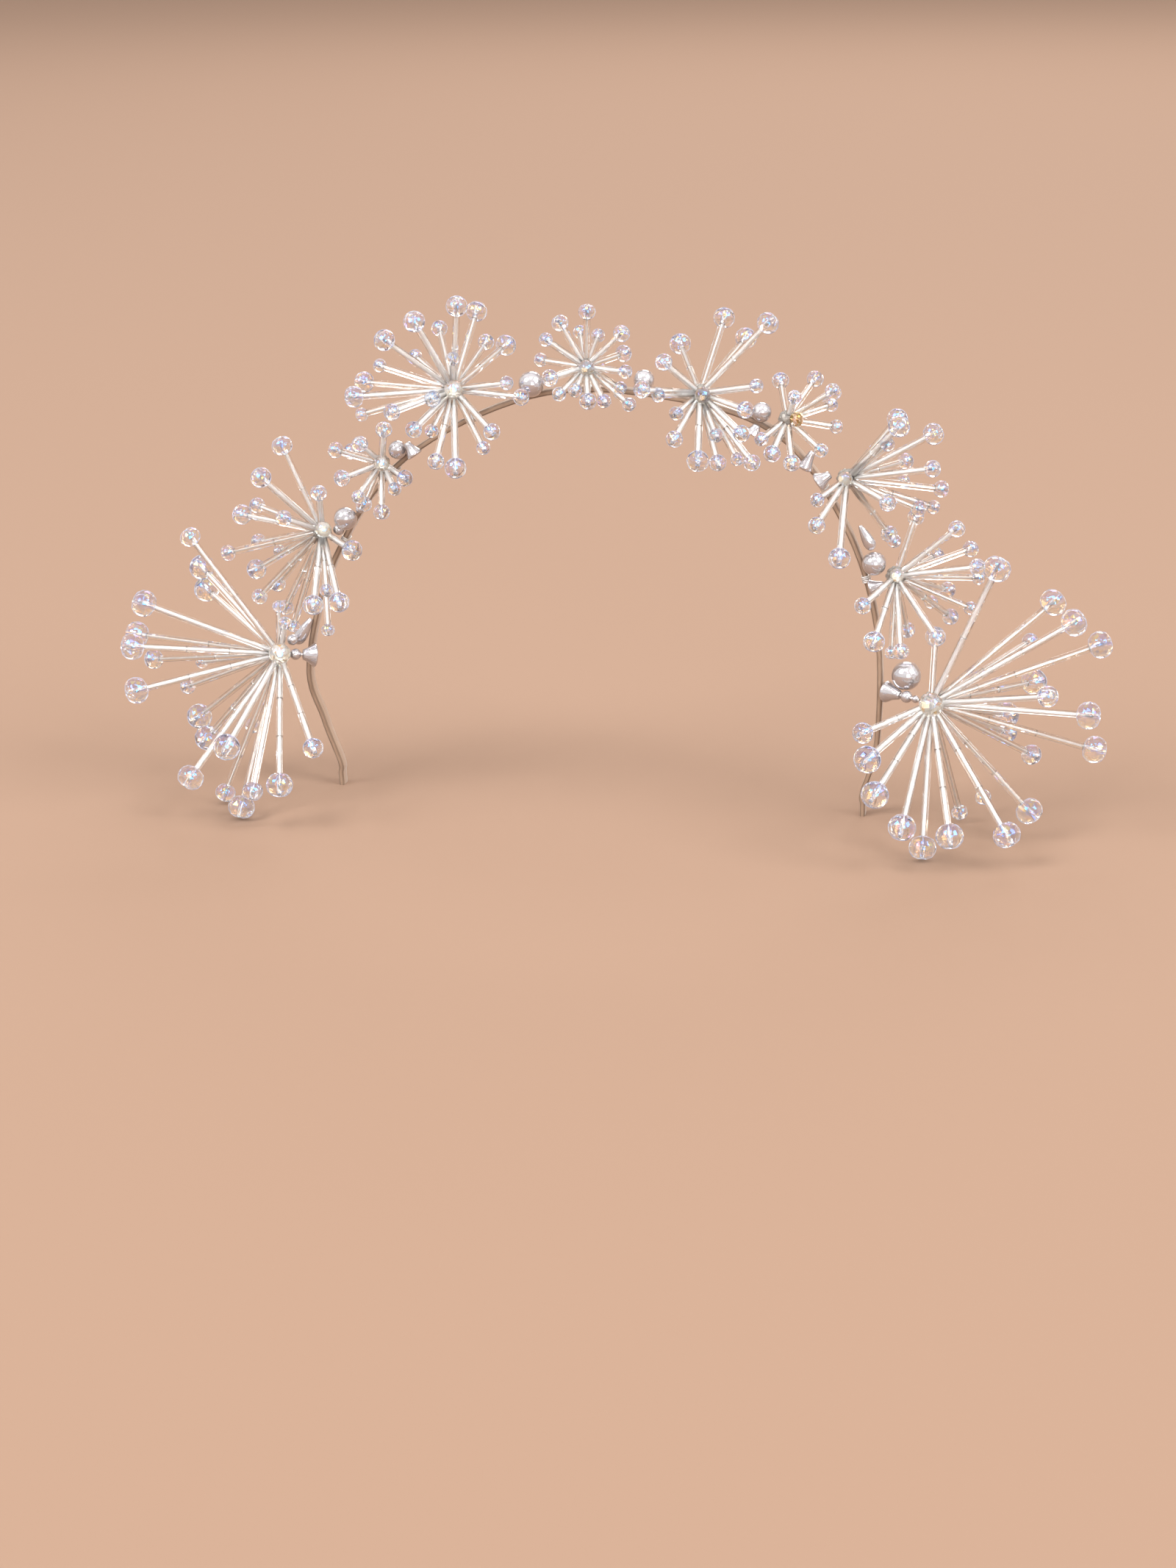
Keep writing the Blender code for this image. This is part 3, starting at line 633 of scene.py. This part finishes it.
pearl_lacquer, tree, shader = new_finish(
    "grey pearl lacquer", Metallic=0.8, Roughness=0.15, Coat_Weight=1.0, Coat_Roughness=0.03)
cloud = add_node(tree, "ShaderNodeTexNoise", {
    "Vector": millimetre_map(tree, PEARL_CLOUD, PEARL_CLOUD), "Scale": 1.0, "Detail": 3.0})
tones = add_node(tree, "ShaderNodeValToRGB", {"Fac": cloud.outputs["Fac"]})
tones.color_ramp.elements[0].color = colour("AFABAE")
tones.color_ramp.elements[1].color = colour("D3CFD2")
bump = add_node(tree, "ShaderNodeBump", {
    "Height": cloud.outputs["Fac"], "Strength": 0.1, "Distance": 0.05 * MM})
tree.links.new(tones.outputs["Color"], shader.inputs["Base Color"])
tree.links.new(bump.outputs["Normal"], shader.inputs["Normal"])

# %% [markdown]
# ## Champagne satin
#
# The band is covered with satin ribbon: long polyester floats that lie along the band and
# catch the light in fine lines. The threads are 0.12 mm apart; drawn 0.3 mm apart here.
# Along both round edges the weave is painted darker, as painted shade for the dark lines there.

# %% Champagne satin
SATIN_FLOAT = 4.0
SATIN_THREAD = 0.3


def satin_finish(name, dark, light):
    """Woven satin with threads that run along the band."""
    material, tree, shader = new_finish(name, Roughness=0.38, Sheen_Weight=0.4, Sheen_Roughness=0.4)
    threads = add_node(tree, "ShaderNodeTexNoise", {
        "Vector": millimetre_map(tree, SATIN_FLOAT, SATIN_THREAD), "Scale": 1.0, "Detail": 2.0})
    tones = add_node(tree, "ShaderNodeValToRGB", {"Fac": threads.outputs["Fac"]})
    tones.color_ramp.elements[0].color = colour(dark)
    tones.color_ramp.elements[1].color = colour(light)
    bump = add_node(tree, "ShaderNodeBump", {
        "Height": threads.outputs["Fac"], "Strength": 0.3, "Distance": 0.08 * MM})
    tree.links.new(tones.outputs["Color"], shader.inputs["Base Color"])
    tree.links.new(bump.outputs["Normal"], shader.inputs["Normal"])
    return material


satin = satin_finish("champagne polyester satin", "7D6453", "B59C86")
# The edge satin is the same weave painted darker: painted shade along the band's round edges.
satin_painted_shade = satin_finish("satin with painted edge shade", "665041", "907A67")
print("finishes:", len(bpy.data.materials))

# %% [markdown]
# ## A ray
#
# On the real tiara a wire leaves the hub and takes up glass tubes with a tiny bead at each joint, then a
# crystal and a stop bead. Here a ray has one to four tubes with plain narrow gaps between them, and one small
# bead where its crystal starts. A round tube works as a lens: it shows its silvered hole half as large again,
# as one straight white streak with clear glass on both sides. Only the rays that lean to the viewer are
# lined, so on them the streak is also a painted highlight; the others are clear glass.

# %% Parts of a ray
TUBE_RADIUS = 0.98
TUBE_SIDES = 16
TUBE_LENGTHS = (35.0, 25.0, 12.0)
TUBE_CHAMFER = 0.06
TUBE_START_SHARE = 0.9
LINING_RADII = {BIG: 0.4, MIDDLE: 0.36, SMALL: 0.33, TINY: 0.3}
LINING_INSET = 0.1
LINING_SIDES = 8
JOINT_GAP = 0.05
WIRE_RADIUS = 0.22
WIRE_SIDES = 6
WIRE_START_SHARE = 0.5
THREADED_SHARE = 0.2
BEAD_ROWS = 6
BEAD_SIDES = 10
BEAD_SQUASH = 0.7
CRIMP_RADIUS = 0.55
CRIMP_STRETCH = 1.5
STOP_RADIUS = 0.5
STOP_SINK = 0.2
SEED_RADIUS = 0.75
END_BEAD_RADIUS = SEED_RADIUS * 0.8
CRYSTAL_TABLE = 0.34
CRYSTAL_HOLE = 0.6
CRYSTAL_BELTS = (-0.72, -0.4, 0.0, 0.4, 0.72)
BELT_STRETCH = 1.15
CRYSTAL_SIDES = {BIG: 16, MIDDLE: 14, SMALL: 12, TINY: 10}


def crystal_profile(size):
    """Round cut bead: a table at each end and six belts of facets."""
    radius = size / 2
    half = radius * CRYSTAL_HEIGHT
    belts = [(radius * belt * CRYSTAL_HEIGHT * BELT_STRETCH, radius * sqrt(1 - belt ** 2),
              (row + 1) % 2 / 2)
             for row, belt in enumerate(CRYSTAL_BELTS)]
    table = radius * CRYSTAL_TABLE
    return [(-half, table), *belts, (half, table), (half, CRYSTAL_HOLE), (-half, CRYSTAL_HOLE)]


def add_tube(meshes, place, low, high, start, hole):
    """A glass tube with chamfered ends; where a radius for its hole is given, the hole is silvered."""
    profile = [(low, TUBE_RADIUS - TUBE_CHAMFER), (low + TUBE_CHAMFER, TUBE_RADIUS),
               (high - TUBE_CHAMFER, TUBE_RADIUS), (high, TUBE_RADIUS - TUBE_CHAMFER)]
    turn(meshes["tube"], place, profile, TUBE_SIDES, start=start)
    if hole:
        lining = [(low + LINING_INSET, hole), (high - LINING_INSET, hole)]
        turn(meshes["lining"], place, lining, LINING_SIDES, start=start)


def add_ray(meshes, hub, hub_radius, tip, size, lined_for_painted_streak, luck):
    """Wire, crimp, crystal, stop bead, tubes and end bead of one ray."""
    reach = (tip - hub).length
    place = Matrix.Translation(hub) @ aim(tip - hub)
    crystal_start = reach - size / 2 * CRYSTAL_HEIGHT
    crystal_end = reach + size / 2 * CRYSTAL_HEIGHT
    threaded = luck.random() < THREADED_SHARE
    wire_end = crystal_end if threaded else reach
    turn(meshes["wire"], place,
         [(hub_radius * WIRE_START_SHARE, WIRE_RADIUS), (wire_end, WIRE_RADIUS)], WIRE_SIDES)
    if not threaded:
        crimp = ball_profile(CRIMP_RADIUS, BEAD_ROWS, CRIMP_STRETCH)
        turn(meshes["seed"], Matrix.Translation(tip) @ aim(tip - hub), crimp, BEAD_SIDES)
    turn(meshes["crystal"], Matrix.Translation(tip) @ aim(tip - hub), crystal_profile(size),
         CRYSTAL_SIDES[size], start=tau * luck.random(), luck=luck, drilled=True)
    stop = ball_profile(STOP_RADIUS, BEAD_ROWS, BEAD_SQUASH)
    turn(meshes["seed"], place @ Matrix.Translation((0, 0, crystal_end - STOP_SINK)), stop, BEAD_SIDES)
    low = hub_radius * TUBE_START_SHARE
    room = crystal_start - low
    length = luck.choice(TUBE_LENGTHS)
    count = max(1, round(room / length))
    step = room / count
    for number in range(count):
        end = low + step * (number + 1) - JOINT_GAP
        add_tube(meshes, place, low + step * number, end, tau * luck.random(),
                 LINING_RADII[size] if lined_for_painted_streak else None)
    end_bead = ball_profile(END_BEAD_RADIUS, BEAD_ROWS, BEAD_SQUASH)
    turn(meshes["tube"], place @ Matrix.Translation((0, 0, crystal_start)), end_bead, BEAD_SIDES)


# %% [markdown]
# ## A hub
#
# Where the rays meet, the wires are bound into a knot hidden by seed beads. A ball of
# evenly spread beads gives that look; the beads are placed on a spiral, which spaces them
# evenly over a sphere without crowding its poles. The short wire that joins a hub to the
# band is in the solids only.

# %% Hub of beads
HUB_BEADS = 34
HUB_BEAD_SQUASH = 0.8
HUB_BEAD_SINK = 0.6
KNOT_SHARE = 0.75
KNOT_ROWS = 8
KNOT_SIDES = 12
GOLDEN_TURN = pi * (3 - sqrt(5))


def add_hub(meshes, hub, radius):
    """Ball of seed beads on a spiral, with a wire knot inside."""
    turn(meshes["wire"], Matrix.Translation(hub), ball_profile(radius * KNOT_SHARE, KNOT_ROWS), KNOT_SIDES)
    bead = ball_profile(SEED_RADIUS, BEAD_ROWS, HUB_BEAD_SQUASH)
    for number in range(HUB_BEADS):
        height = 1 - 2 * (number + 0.5) / HUB_BEADS
        around = number * GOLDEN_TURN
        flat = sqrt(1 - height ** 2)
        way = Vector((flat * cos(around), flat * sin(around), height))
        spot = Matrix.Translation(hub + way * (radius - SEED_RADIUS * HUB_BEAD_SINK)) @ aim(way)
        turn(meshes["seed"], spot, bead, BEAD_SIDES)


# %% [markdown]
# ## The ten bursts
#
# Each burst is split by what it is made of: tubes, linings, wires, crystals and seed beads. All five stand
# for the burst's one solid. A ray is lined where its tip is more than 4 mm nearer the viewer than its hub, so
# the lining's white streak is a painted highlight on the rays that face the viewer.

# %% The ten bursts
# Rays whose tips come this many millimetres nearer the viewer get the lining, a painted highlight streak.
PAINTED_STREAK_FROM = 4
FINISHES = {
    # part: (material, slot, smooth angle, facet roundness)
    "tube": (drawn_glass, "clear_glass", None, 0.0),
    "lining": (lining_with_painted_streak, "clear_glass", 50, 0.0),
    "wire": (silver_wire, "clear_glass", 50, 0.0),
    "crystal": (coated_crystal, "coated_crystal", None, 0.5),
    "seed": (seed_glass, "clear_glass", 60, 0.0),
}


def add_burst(name, hub, hub_radius, luck):
    """All rays of one burst and its hub, as one piece for each finish."""
    meshes = {part: new_mesh() for part in FINISHES}
    add_hub(meshes, hub, hub_radius)
    for across, up, toward, size in RAYS[name]:
        tip = ray_end(hub, across, up, toward)
        add_ray(meshes, hub, hub_radius, tip, size, toward > PAINTED_STREAK_FROM, luck)
    for part, (material, slot, smooth_angle, roundness) in FINISHES.items():
        finish_piece(part + "s_" + name, meshes[part], [material], ["burst_" + name],
                     smooth_angle, roundness)


for number, (name, x, y, z, hub_radius, *_) in enumerate(HUBS):
    add_burst(name, Vector((x, y, z)), hub_radius, random.Random(number))
print("burst pieces:", len(pieces))

# %% [markdown]
# ## The middle stones
#
# A cut stone covers each hub, its table turned to the viewer. The stones draw their chance
# values from numbers of their own, beside those of the bursts.

# %% The middle stones
STONE_SIDES = 10
STONE_ROUNDNESS = 0.3
STONE_LUCK = 20
GOLDEN_HUB = "right_middle"
STONE_PROFILE = [
    # share of the half height, share of the radius, half step round
    (-1, 0.55, 0),
    (-0.45, 0.88, 0.5),
    (0, 1, 0),
    (0.5, 0.85, 0.5),
    (0.83, 0.6, 0),
    (1, 0.33, 0.5),
]


def stone_profile(size):
    """Round brilliant: table, crown, girdle and a shallow back."""
    radius = size / 2
    half = radius * CRYSTAL_HEIGHT
    return [(half * height, radius * width, half_step) for height, width, half_step in STONE_PROFILE]


def add_stone(name, hub, hub_radius, size, across, up, luck):
    """Cut stone in front of a hub, as one piece."""
    reach = hub_radius + SEAT_GAP + size / 2 * CRYSTAL_HEIGHT
    right, high, near = view_axes(hub)
    toward = sqrt(reach ** 2 - across ** 2 - up ** 2)
    offset = right * across + high * up + near * toward
    bm = new_mesh()
    place = Matrix.Translation(hub + offset) @ aim(offset)
    turn(bm, place, stone_profile(size), STONE_SIDES, luck=luck)
    finish = golden_stone if name == GOLDEN_HUB else clear_stone
    finish_piece("stone_cut_" + name, bm, [finish], ["stone_" + name],
                 facet_roundness=STONE_ROUNDNESS)


for number, (name, x, y, z, *sizes) in enumerate(HUBS):
    add_stone(name, Vector((x, y, z)), *sizes, random.Random(number + STONE_LUCK))
print("pieces with the stones:", len(pieces))

# %% [markdown]
# ## The pearls
#
# Round pearls are turned from a half circle. Trumpets stand on their flared end, and long
# drops are narrow at their top; both have their own profiles. Smooth shading rounds all
# of them off. A wire runs through the pearls of each string.

# %% The pearls
PEARL_SIDES = 32
PEARL_ROWS = 16
PEARL_SMOOTH = 45
STRING_WIRE = 0.45
STRING_WIRE_SIDES = 10
STRING_WIRE_SMOOTH = 50
TURNED_PROFILES = {
    # share of the length, share of the radius
    "trumpet": [
        (0, 0.78), (0.03, 0.93), (0.08, 0.99), (0.14, 1), (0.24, 0.9), (0.38, 0.76),
        (0.52, 0.64), (0.66, 0.55), (0.8, 0.48), (0.92, 0.42), (0.97, 0.34), (1, 0.2)],
    "drop": [
        (0, 0.3), (0.03, 0.55), (0.08, 0.76), (0.16, 0.93), (0.28, 1), (0.42, 0.96),
        (0.56, 0.85), (0.7, 0.7), (0.84, 0.53), (0.95, 0.38), (1, 0.22)],
}


def add_pearl(name, profile, spot, direction, node):
    """A pearl turned from its profile, as one piece."""
    bm = new_mesh()
    turn(bm, Matrix.Translation(spot) @ aim(direction), profile, PEARL_SIDES)
    finish_piece(name, bm, [pearl_lacquer], [node], PEARL_SMOOTH)


def turned_profile(shape, width, length):
    """Profile of a trumpet or drop in millimetres."""
    radius = width / 2
    return [(length * height, radius * share) for height, share in TURNED_PROFILES[shape]]


for name, along, out, size in ROUND_PEARLS:
    reach = size / 2 + SEAT_GAP
    beyond = min(max(out - BAND_THICK / 2, 0), reach)
    spot, outward = band_place(along, out, BAND_WIDE / 2 + sqrt(reach ** 2 - beyond ** 2))
    add_pearl("lacquered_" + name, ball_profile(size / 2, PEARL_ROWS), spot, outward, "pearl_" + name)
for name, x, y, z, size in HELD_PEARLS:
    add_pearl("lacquered_" + name, ball_profile(size / 2, PEARL_ROWS), Vector((x, y, z)), UPWARD,
              "pearl_" + name)
for name, shape, along, out, forward, tilt, width, length in TURNED_PEARLS:
    spot, outward = band_place(along, out, forward)
    side = 1 if spot.x < 0 else -1
    direction = Matrix.Rotation(radians(tilt) * side, 3, "Y") @ outward
    add_pearl("lacquered_" + name, turned_profile(shape, width, length), spot, direction, name)
for name, (start, width, length, sizes) in STRINGS.items():
    hub = next(Vector(row[1:4]) for row in HUBS if row[0] == name)
    spot = Vector(start)
    toward_hub = (hub - spot).normalized()
    add_pearl("lacquered_trumpet_" + name, turned_profile("trumpet", width, length), spot, toward_hub,
              "string_trumpet_" + name)
    spot += toward_hub * (length + SEAT_GAP)
    for number, size in enumerate(sizes, 1):
        spot += toward_hub * size / 2
        add_pearl("lacquered_%s_%d" % (name, number), ball_profile(size / 2, PEARL_ROWS), spot,
                  toward_hub, "string_pearl_%s_%d" % (name, number))
        spot += toward_hub * (size / 2 + SEAT_GAP)
    wire = new_mesh()
    turn(wire, Matrix.Translation(Vector(start)) @ aim(toward_hub),
         [(STRING_WIRE, STRING_WIRE), ((spot - Vector(start)).length, STRING_WIRE)], STRING_WIRE_SIDES)
    finish_piece("string_wire_" + name, wire, [silver_wire], ["string_trumpet_" + name],
                 STRING_WIRE_SMOOTH)
print("pieces with the pearls:", len(pieces))

# %% [markdown]
# ## The satin band
#
# Ribbon is stretched over a flat strip and turned in along both edges, so the band's
# faces are flat and its edges are round.

# %% The satin band
BAND_EDGE = 0.45
BAND_SMOOTH = 50
CORNER_POINTS = 4
BAND_FINE_STEPS = 8


def band_section():
    """Outline of the band across its width: (depth, outward), round at its edges."""
    wide = BAND_WIDE / 2 - BAND_EDGE
    thick = BAND_THICK / 2 - BAND_EDGE
    corners = [(wide, thick), (-wide, thick), (-wide, -thick), (wide, -thick)]
    section = []
    for quarter, (depth, outward) in enumerate(corners):
        for step in range(CORNER_POINTS):
            angle = pi / 2 * (quarter + step / (CORNER_POINTS - 1))
            section.append((depth + BAND_EDGE * cos(angle), outward + BAND_EDGE * sin(angle)))
    return section


def add_band():
    """The band's outline swept along its line, with painted shade on the round edges."""
    bm = new_mesh()
    uv = bm.loops.layers.uv["millimetres"]
    tints = bm.faces.layers.float["tint"]
    line = smooth_line(band_corners, BAND_FINE_STEPS)
    section = band_section()
    rows = []
    run = 0.0
    for i, spot in enumerate(line):
        ahead = line[min(i + 1, len(line) - 1)] - line[max(i - 1, 0)]
        outward = Vector((-ahead.z, 0, ahead.x)).normalized()
        run += (spot - line[max(i - 1, 0)]).length
        row = [bm.verts.new(spot + Vector((0, depth, 0)) + outward * out) for depth, out in section]
        rows.append((row, run))
    around = [0.0]
    for i in range(len(section)):
        (a, b), (c, d) = section[i], section[(i + 1) % len(section)]
        around.append(around[-1] + sqrt((c - a) ** 2 + (d - b) ** 2))
    count = len(section)
    for (low, low_run), (high, high_run) in zip(rows, rows[1:]):
        for i in range(count):
            face = bm.faces.new([low[i], low[(i + 1) % count], high[(i + 1) % count], high[i]])
            face[tints] = 0.5
            # Faces on the round edges take the second finish, the satin with painted shade.
            face.material_index = int(i % CORNER_POINTS < CORNER_POINTS - 1)
            left, right = around[i:i + 2]
            spots = [(low_run, left), (low_run, right), (high_run, right), (high_run, left)]
            for loop, spot in zip(face.loops, spots):
                loop[uv].uv = spot
    for row in (rows[0][0], rows[-1][0]):
        bm.faces.new(row)
    finish_piece("satin_band", bm, [satin, satin_painted_shade], ["band"], BAND_SMOOTH)


add_band()
print("pieces with the band:", len(pieces))

# %% [markdown]
# ## Binding wires
#
# Each of the eight bursts that sit on the band is tied to it with a few close turns of the
# same silvered wire. They show from behind, where the hubs hide nothing. A turn is a
# closed loop round the band's outline, swept with a thin round section.

# %% Binding wires
BINDING_TURNS = 4
BINDING_PITCH = 0.55
BINDING_WIRE = 0.22
BINDING_SIDES = 6
BINDING_SMOOTH = 60


def nearest_along(spot):
    """How far along the band its line comes nearest to a place."""
    best = (inf, 0.0)
    along = 0.0
    for start, end in zip(band_line, band_line[1:]):
        run = end - start
        share = min(max((spot - start).dot(run) / run.dot(run), 0), 1)
        best = min(best, ((start + run * share - spot).length, along + run.length * share))
        along += run.length
    return best[1]


def add_binding(bm, along):
    """One closed turn of wire round the band's outline."""
    uv = bm.loops.layers.uv["millimetres"]
    middle, outward = band_place(along, 0, 0)
    forward = Vector((0, 1, 0))
    lengthwise = outward.cross(forward)
    outline = band_section()
    rings = []
    for i, (depth, out) in enumerate(outline):
        before, after = outline[i - 1], outline[(i + 1) % len(outline)]
        side = Vector((after[1] - before[1], before[0] - after[0])).normalized()
        away = forward * side.x + outward * side.y
        if away.dot(forward * depth + outward * out) < 0:
            away = -away
        spot = middle + forward * depth + outward * out + away * BINDING_WIRE
        rings.append([bm.verts.new(spot + BINDING_WIRE * (away * cos(tau * k / BINDING_SIDES)
                                                          + lengthwise * sin(tau * k / BINDING_SIDES)))
                      for k in range(BINDING_SIDES)])
    for i, ring in enumerate(rings):
        after = rings[(i + 1) % len(rings)]
        for k in range(BINDING_SIDES):
            j = (k + 1) % BINDING_SIDES
            face = bm.faces.new([ring[k], ring[j], after[j], after[k]])
            for loop, (step_along, step_round) in zip(face.loops, ((0, 0), (0, 1), (1, 1), (1, 0))):
                loop[uv].uv = ((i + step_along) * BAND_EDGE, (k + step_round) * BINDING_WIRE)


binding_mesh = new_mesh()
for _, x, y, z, *_ in HUBS[1:-1]:
    foot = nearest_along(Vector((x, y, z)))
    for number in range(BINDING_TURNS):
        add_binding(binding_mesh, foot + (number - (BINDING_TURNS - 1) / 2) * BINDING_PITCH)
finish_piece("binding_wires", binding_mesh, [silver_wire], ["band"], BINDING_SMOOTH)
print("pieces:", len(pieces))

# %% [markdown]
# ## Floor, light and camera
#
# The photograph looks down on the tiara from slightly to one side through a long lens,
# over a plain warm ground, lit by wide soft lamps. The surround is white in front and at
# the sides, which gives the glass its bright edges. Behind the tiara it is peach like the
# ground, and a dusky grey higher up. The lamps give the glass its flashes.

# %% Floor
FLOOR_REACH = 12.0
FLOOR_SIDES = 64
floor_mesh = bpy.data.meshes.new("floor")
floor_bm = bmesh.new()
bmesh.ops.create_circle(floor_bm, cap_ends=True, segments=FLOOR_SIDES, radius=FLOOR_REACH)
floor_bm.to_mesh(floor_mesh)
floor_bm.free()
floor = bpy.data.objects.new("floor", floor_mesh)
bpy.context.scene.collection.objects.link(floor)
paper, tree, shader = new_finish("pale peach paper", Roughness=0.9)
shader.inputs["Base Color"].default_value = colour("8B705D")
floor_mesh.materials.append(paper)
floor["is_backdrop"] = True
print("floor reach in metres:", FLOOR_REACH)

# %% Light
LAMPS = [
    # name, place in metres, aim in metres, size in metres, power in watts
    ("left softbox", (-2.7, -2.5, 3.2), (0, 0, 0.08), 2.2, 200),
    ("right softbox", (3.2, -1.3, 2.8), (0, 0, 0.08), 2.2, 170),
    ("top softbox", (0.2, -2.2, 4.7), (0, 0, 0.08), 1.5, 60),
    ("front softbox", (2.1, -5.0, 1.3), (0, 0, 0.08), 2.0, 80),
    ("floor light", (0, 3.4, 2.6), (0, 3.0, 0), 2.0, 60),
]
PAPER = "D6B298"
DUSK = "9A96A8"
WALL = "F6F3F1"
PAPER_EDGE = (0.35, 0.6)
PAPER_TOP = (0.6, 0.75)
CEILING_EDGE = (0.5, 0.9)
WALL_STRENGTH = 1.15
CEILING_STRENGTH = 1.5
# A Mix node's sockets for colours, counted from 0.
MIX_FIRST = 6
MIX_SECOND = 7
MIX_RESULT = 2

for name, place, target, size, power in LAMPS:
    lamp = bpy.data.lights.new(name, "AREA")
    lamp.shape = "SQUARE"
    lamp.size = size
    lamp.energy = power
    lamp_object = bpy.data.objects.new(name, lamp)
    lamp_object.location = place
    lamp_object.rotation_euler = (Vector(place) - Vector(target)).to_track_quat("Z", "Y").to_euler()
    bpy.context.scene.collection.objects.link(lamp_object)
world = bpy.data.worlds.new("pale studio")
world.use_nodes = True
tree = world.node_tree
direction = add_node(tree, "ShaderNodeTexCoord")
parts = add_node(tree, "ShaderNodeSeparateXYZ", {"Vector": direction.outputs["Generated"]})
behind = add_node(tree, "ShaderNodeMapRange", {
    "Value": parts.outputs["Y"], "From Min": PAPER_EDGE[0], "From Max": PAPER_EDGE[1]})
above = add_node(tree, "ShaderNodeMapRange", {
    "Value": parts.outputs["Z"], "From Min": PAPER_TOP[0], "From Max": PAPER_TOP[1]})
rear = add_node(tree, "ShaderNodeMix", {
    "Factor": above.outputs["Result"], MIX_FIRST: colour(PAPER), MIX_SECOND: colour(DUSK)},
    data_type="RGBA")
high = add_node(tree, "ShaderNodeMapRange", {
    "Value": parts.outputs["Z"], "From Min": CEILING_EDGE[0], "From Max": CEILING_EDGE[1],
    "To Min": WALL_STRENGTH, "To Max": CEILING_STRENGTH})
white = add_node(tree, "ShaderNodeVectorMath", {
    0: colour(WALL)[:3], "Scale": high.outputs["Result"]}, operation="SCALE")
surround = add_node(tree, "ShaderNodeMix", {
    "Factor": behind.outputs["Result"], MIX_FIRST: white.outputs["Vector"],
    MIX_SECOND: rear.outputs[MIX_RESULT]}, data_type="RGBA")
tree.links.new(surround.outputs[MIX_RESULT], tree.nodes["Background"].inputs["Color"])
bpy.context.scene.world = world
bpy.context.scene.view_settings.view_transform = "Standard"
print("lamps:", len(LAMPS))

# %% Camera
SENSOR = 36.0
FOCAL_PIXELS = 3520
IMAGE_HIGH = 2133
VIEW_AZIMUTH = 12.0
VIEW_PITCH = 19.0
VIEW_ROLL = -0.55
CAMERA_PLACE = Vector((149.4, -710.0, 258.5))
camera_data = bpy.data.cameras.new("camera")
camera_data.sensor_width = SENSOR
camera_data.lens = SENSOR * FOCAL_PIXELS / IMAGE_HIGH
camera = bpy.data.objects.new("camera", camera_data)
turned_view = Euler((radians(90 - VIEW_PITCH), 0, radians(VIEW_AZIMUTH))).to_matrix().to_4x4()
rolled = turned_view @ Matrix.Rotation(radians(VIEW_ROLL), 4, "Z")
camera.matrix_world = Matrix.Translation((CAMERA_PLACE + shift) * MM) @ rolled
bpy.context.scene.collection.objects.link(camera)
bpy.context.scene.camera = camera
print("lens in mm:", round(camera_data.lens, 1))

low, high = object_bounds()
sizes = {"cad": [list(cad_low), list(cad_high)], "visual": [list(low), list(high)]}
outer_sides = list(cad_low) + list(high)
inner_sides = list(low) + list(cad_high)
excess = [round(max(a - b, 0) / MM, 3) for a, b in zip(outer_sides, inner_sides)]
print("outside the solids' box in mm:", excess)
print("triangles:", sum(len(piece.data.loop_triangles) for piece in pieces))
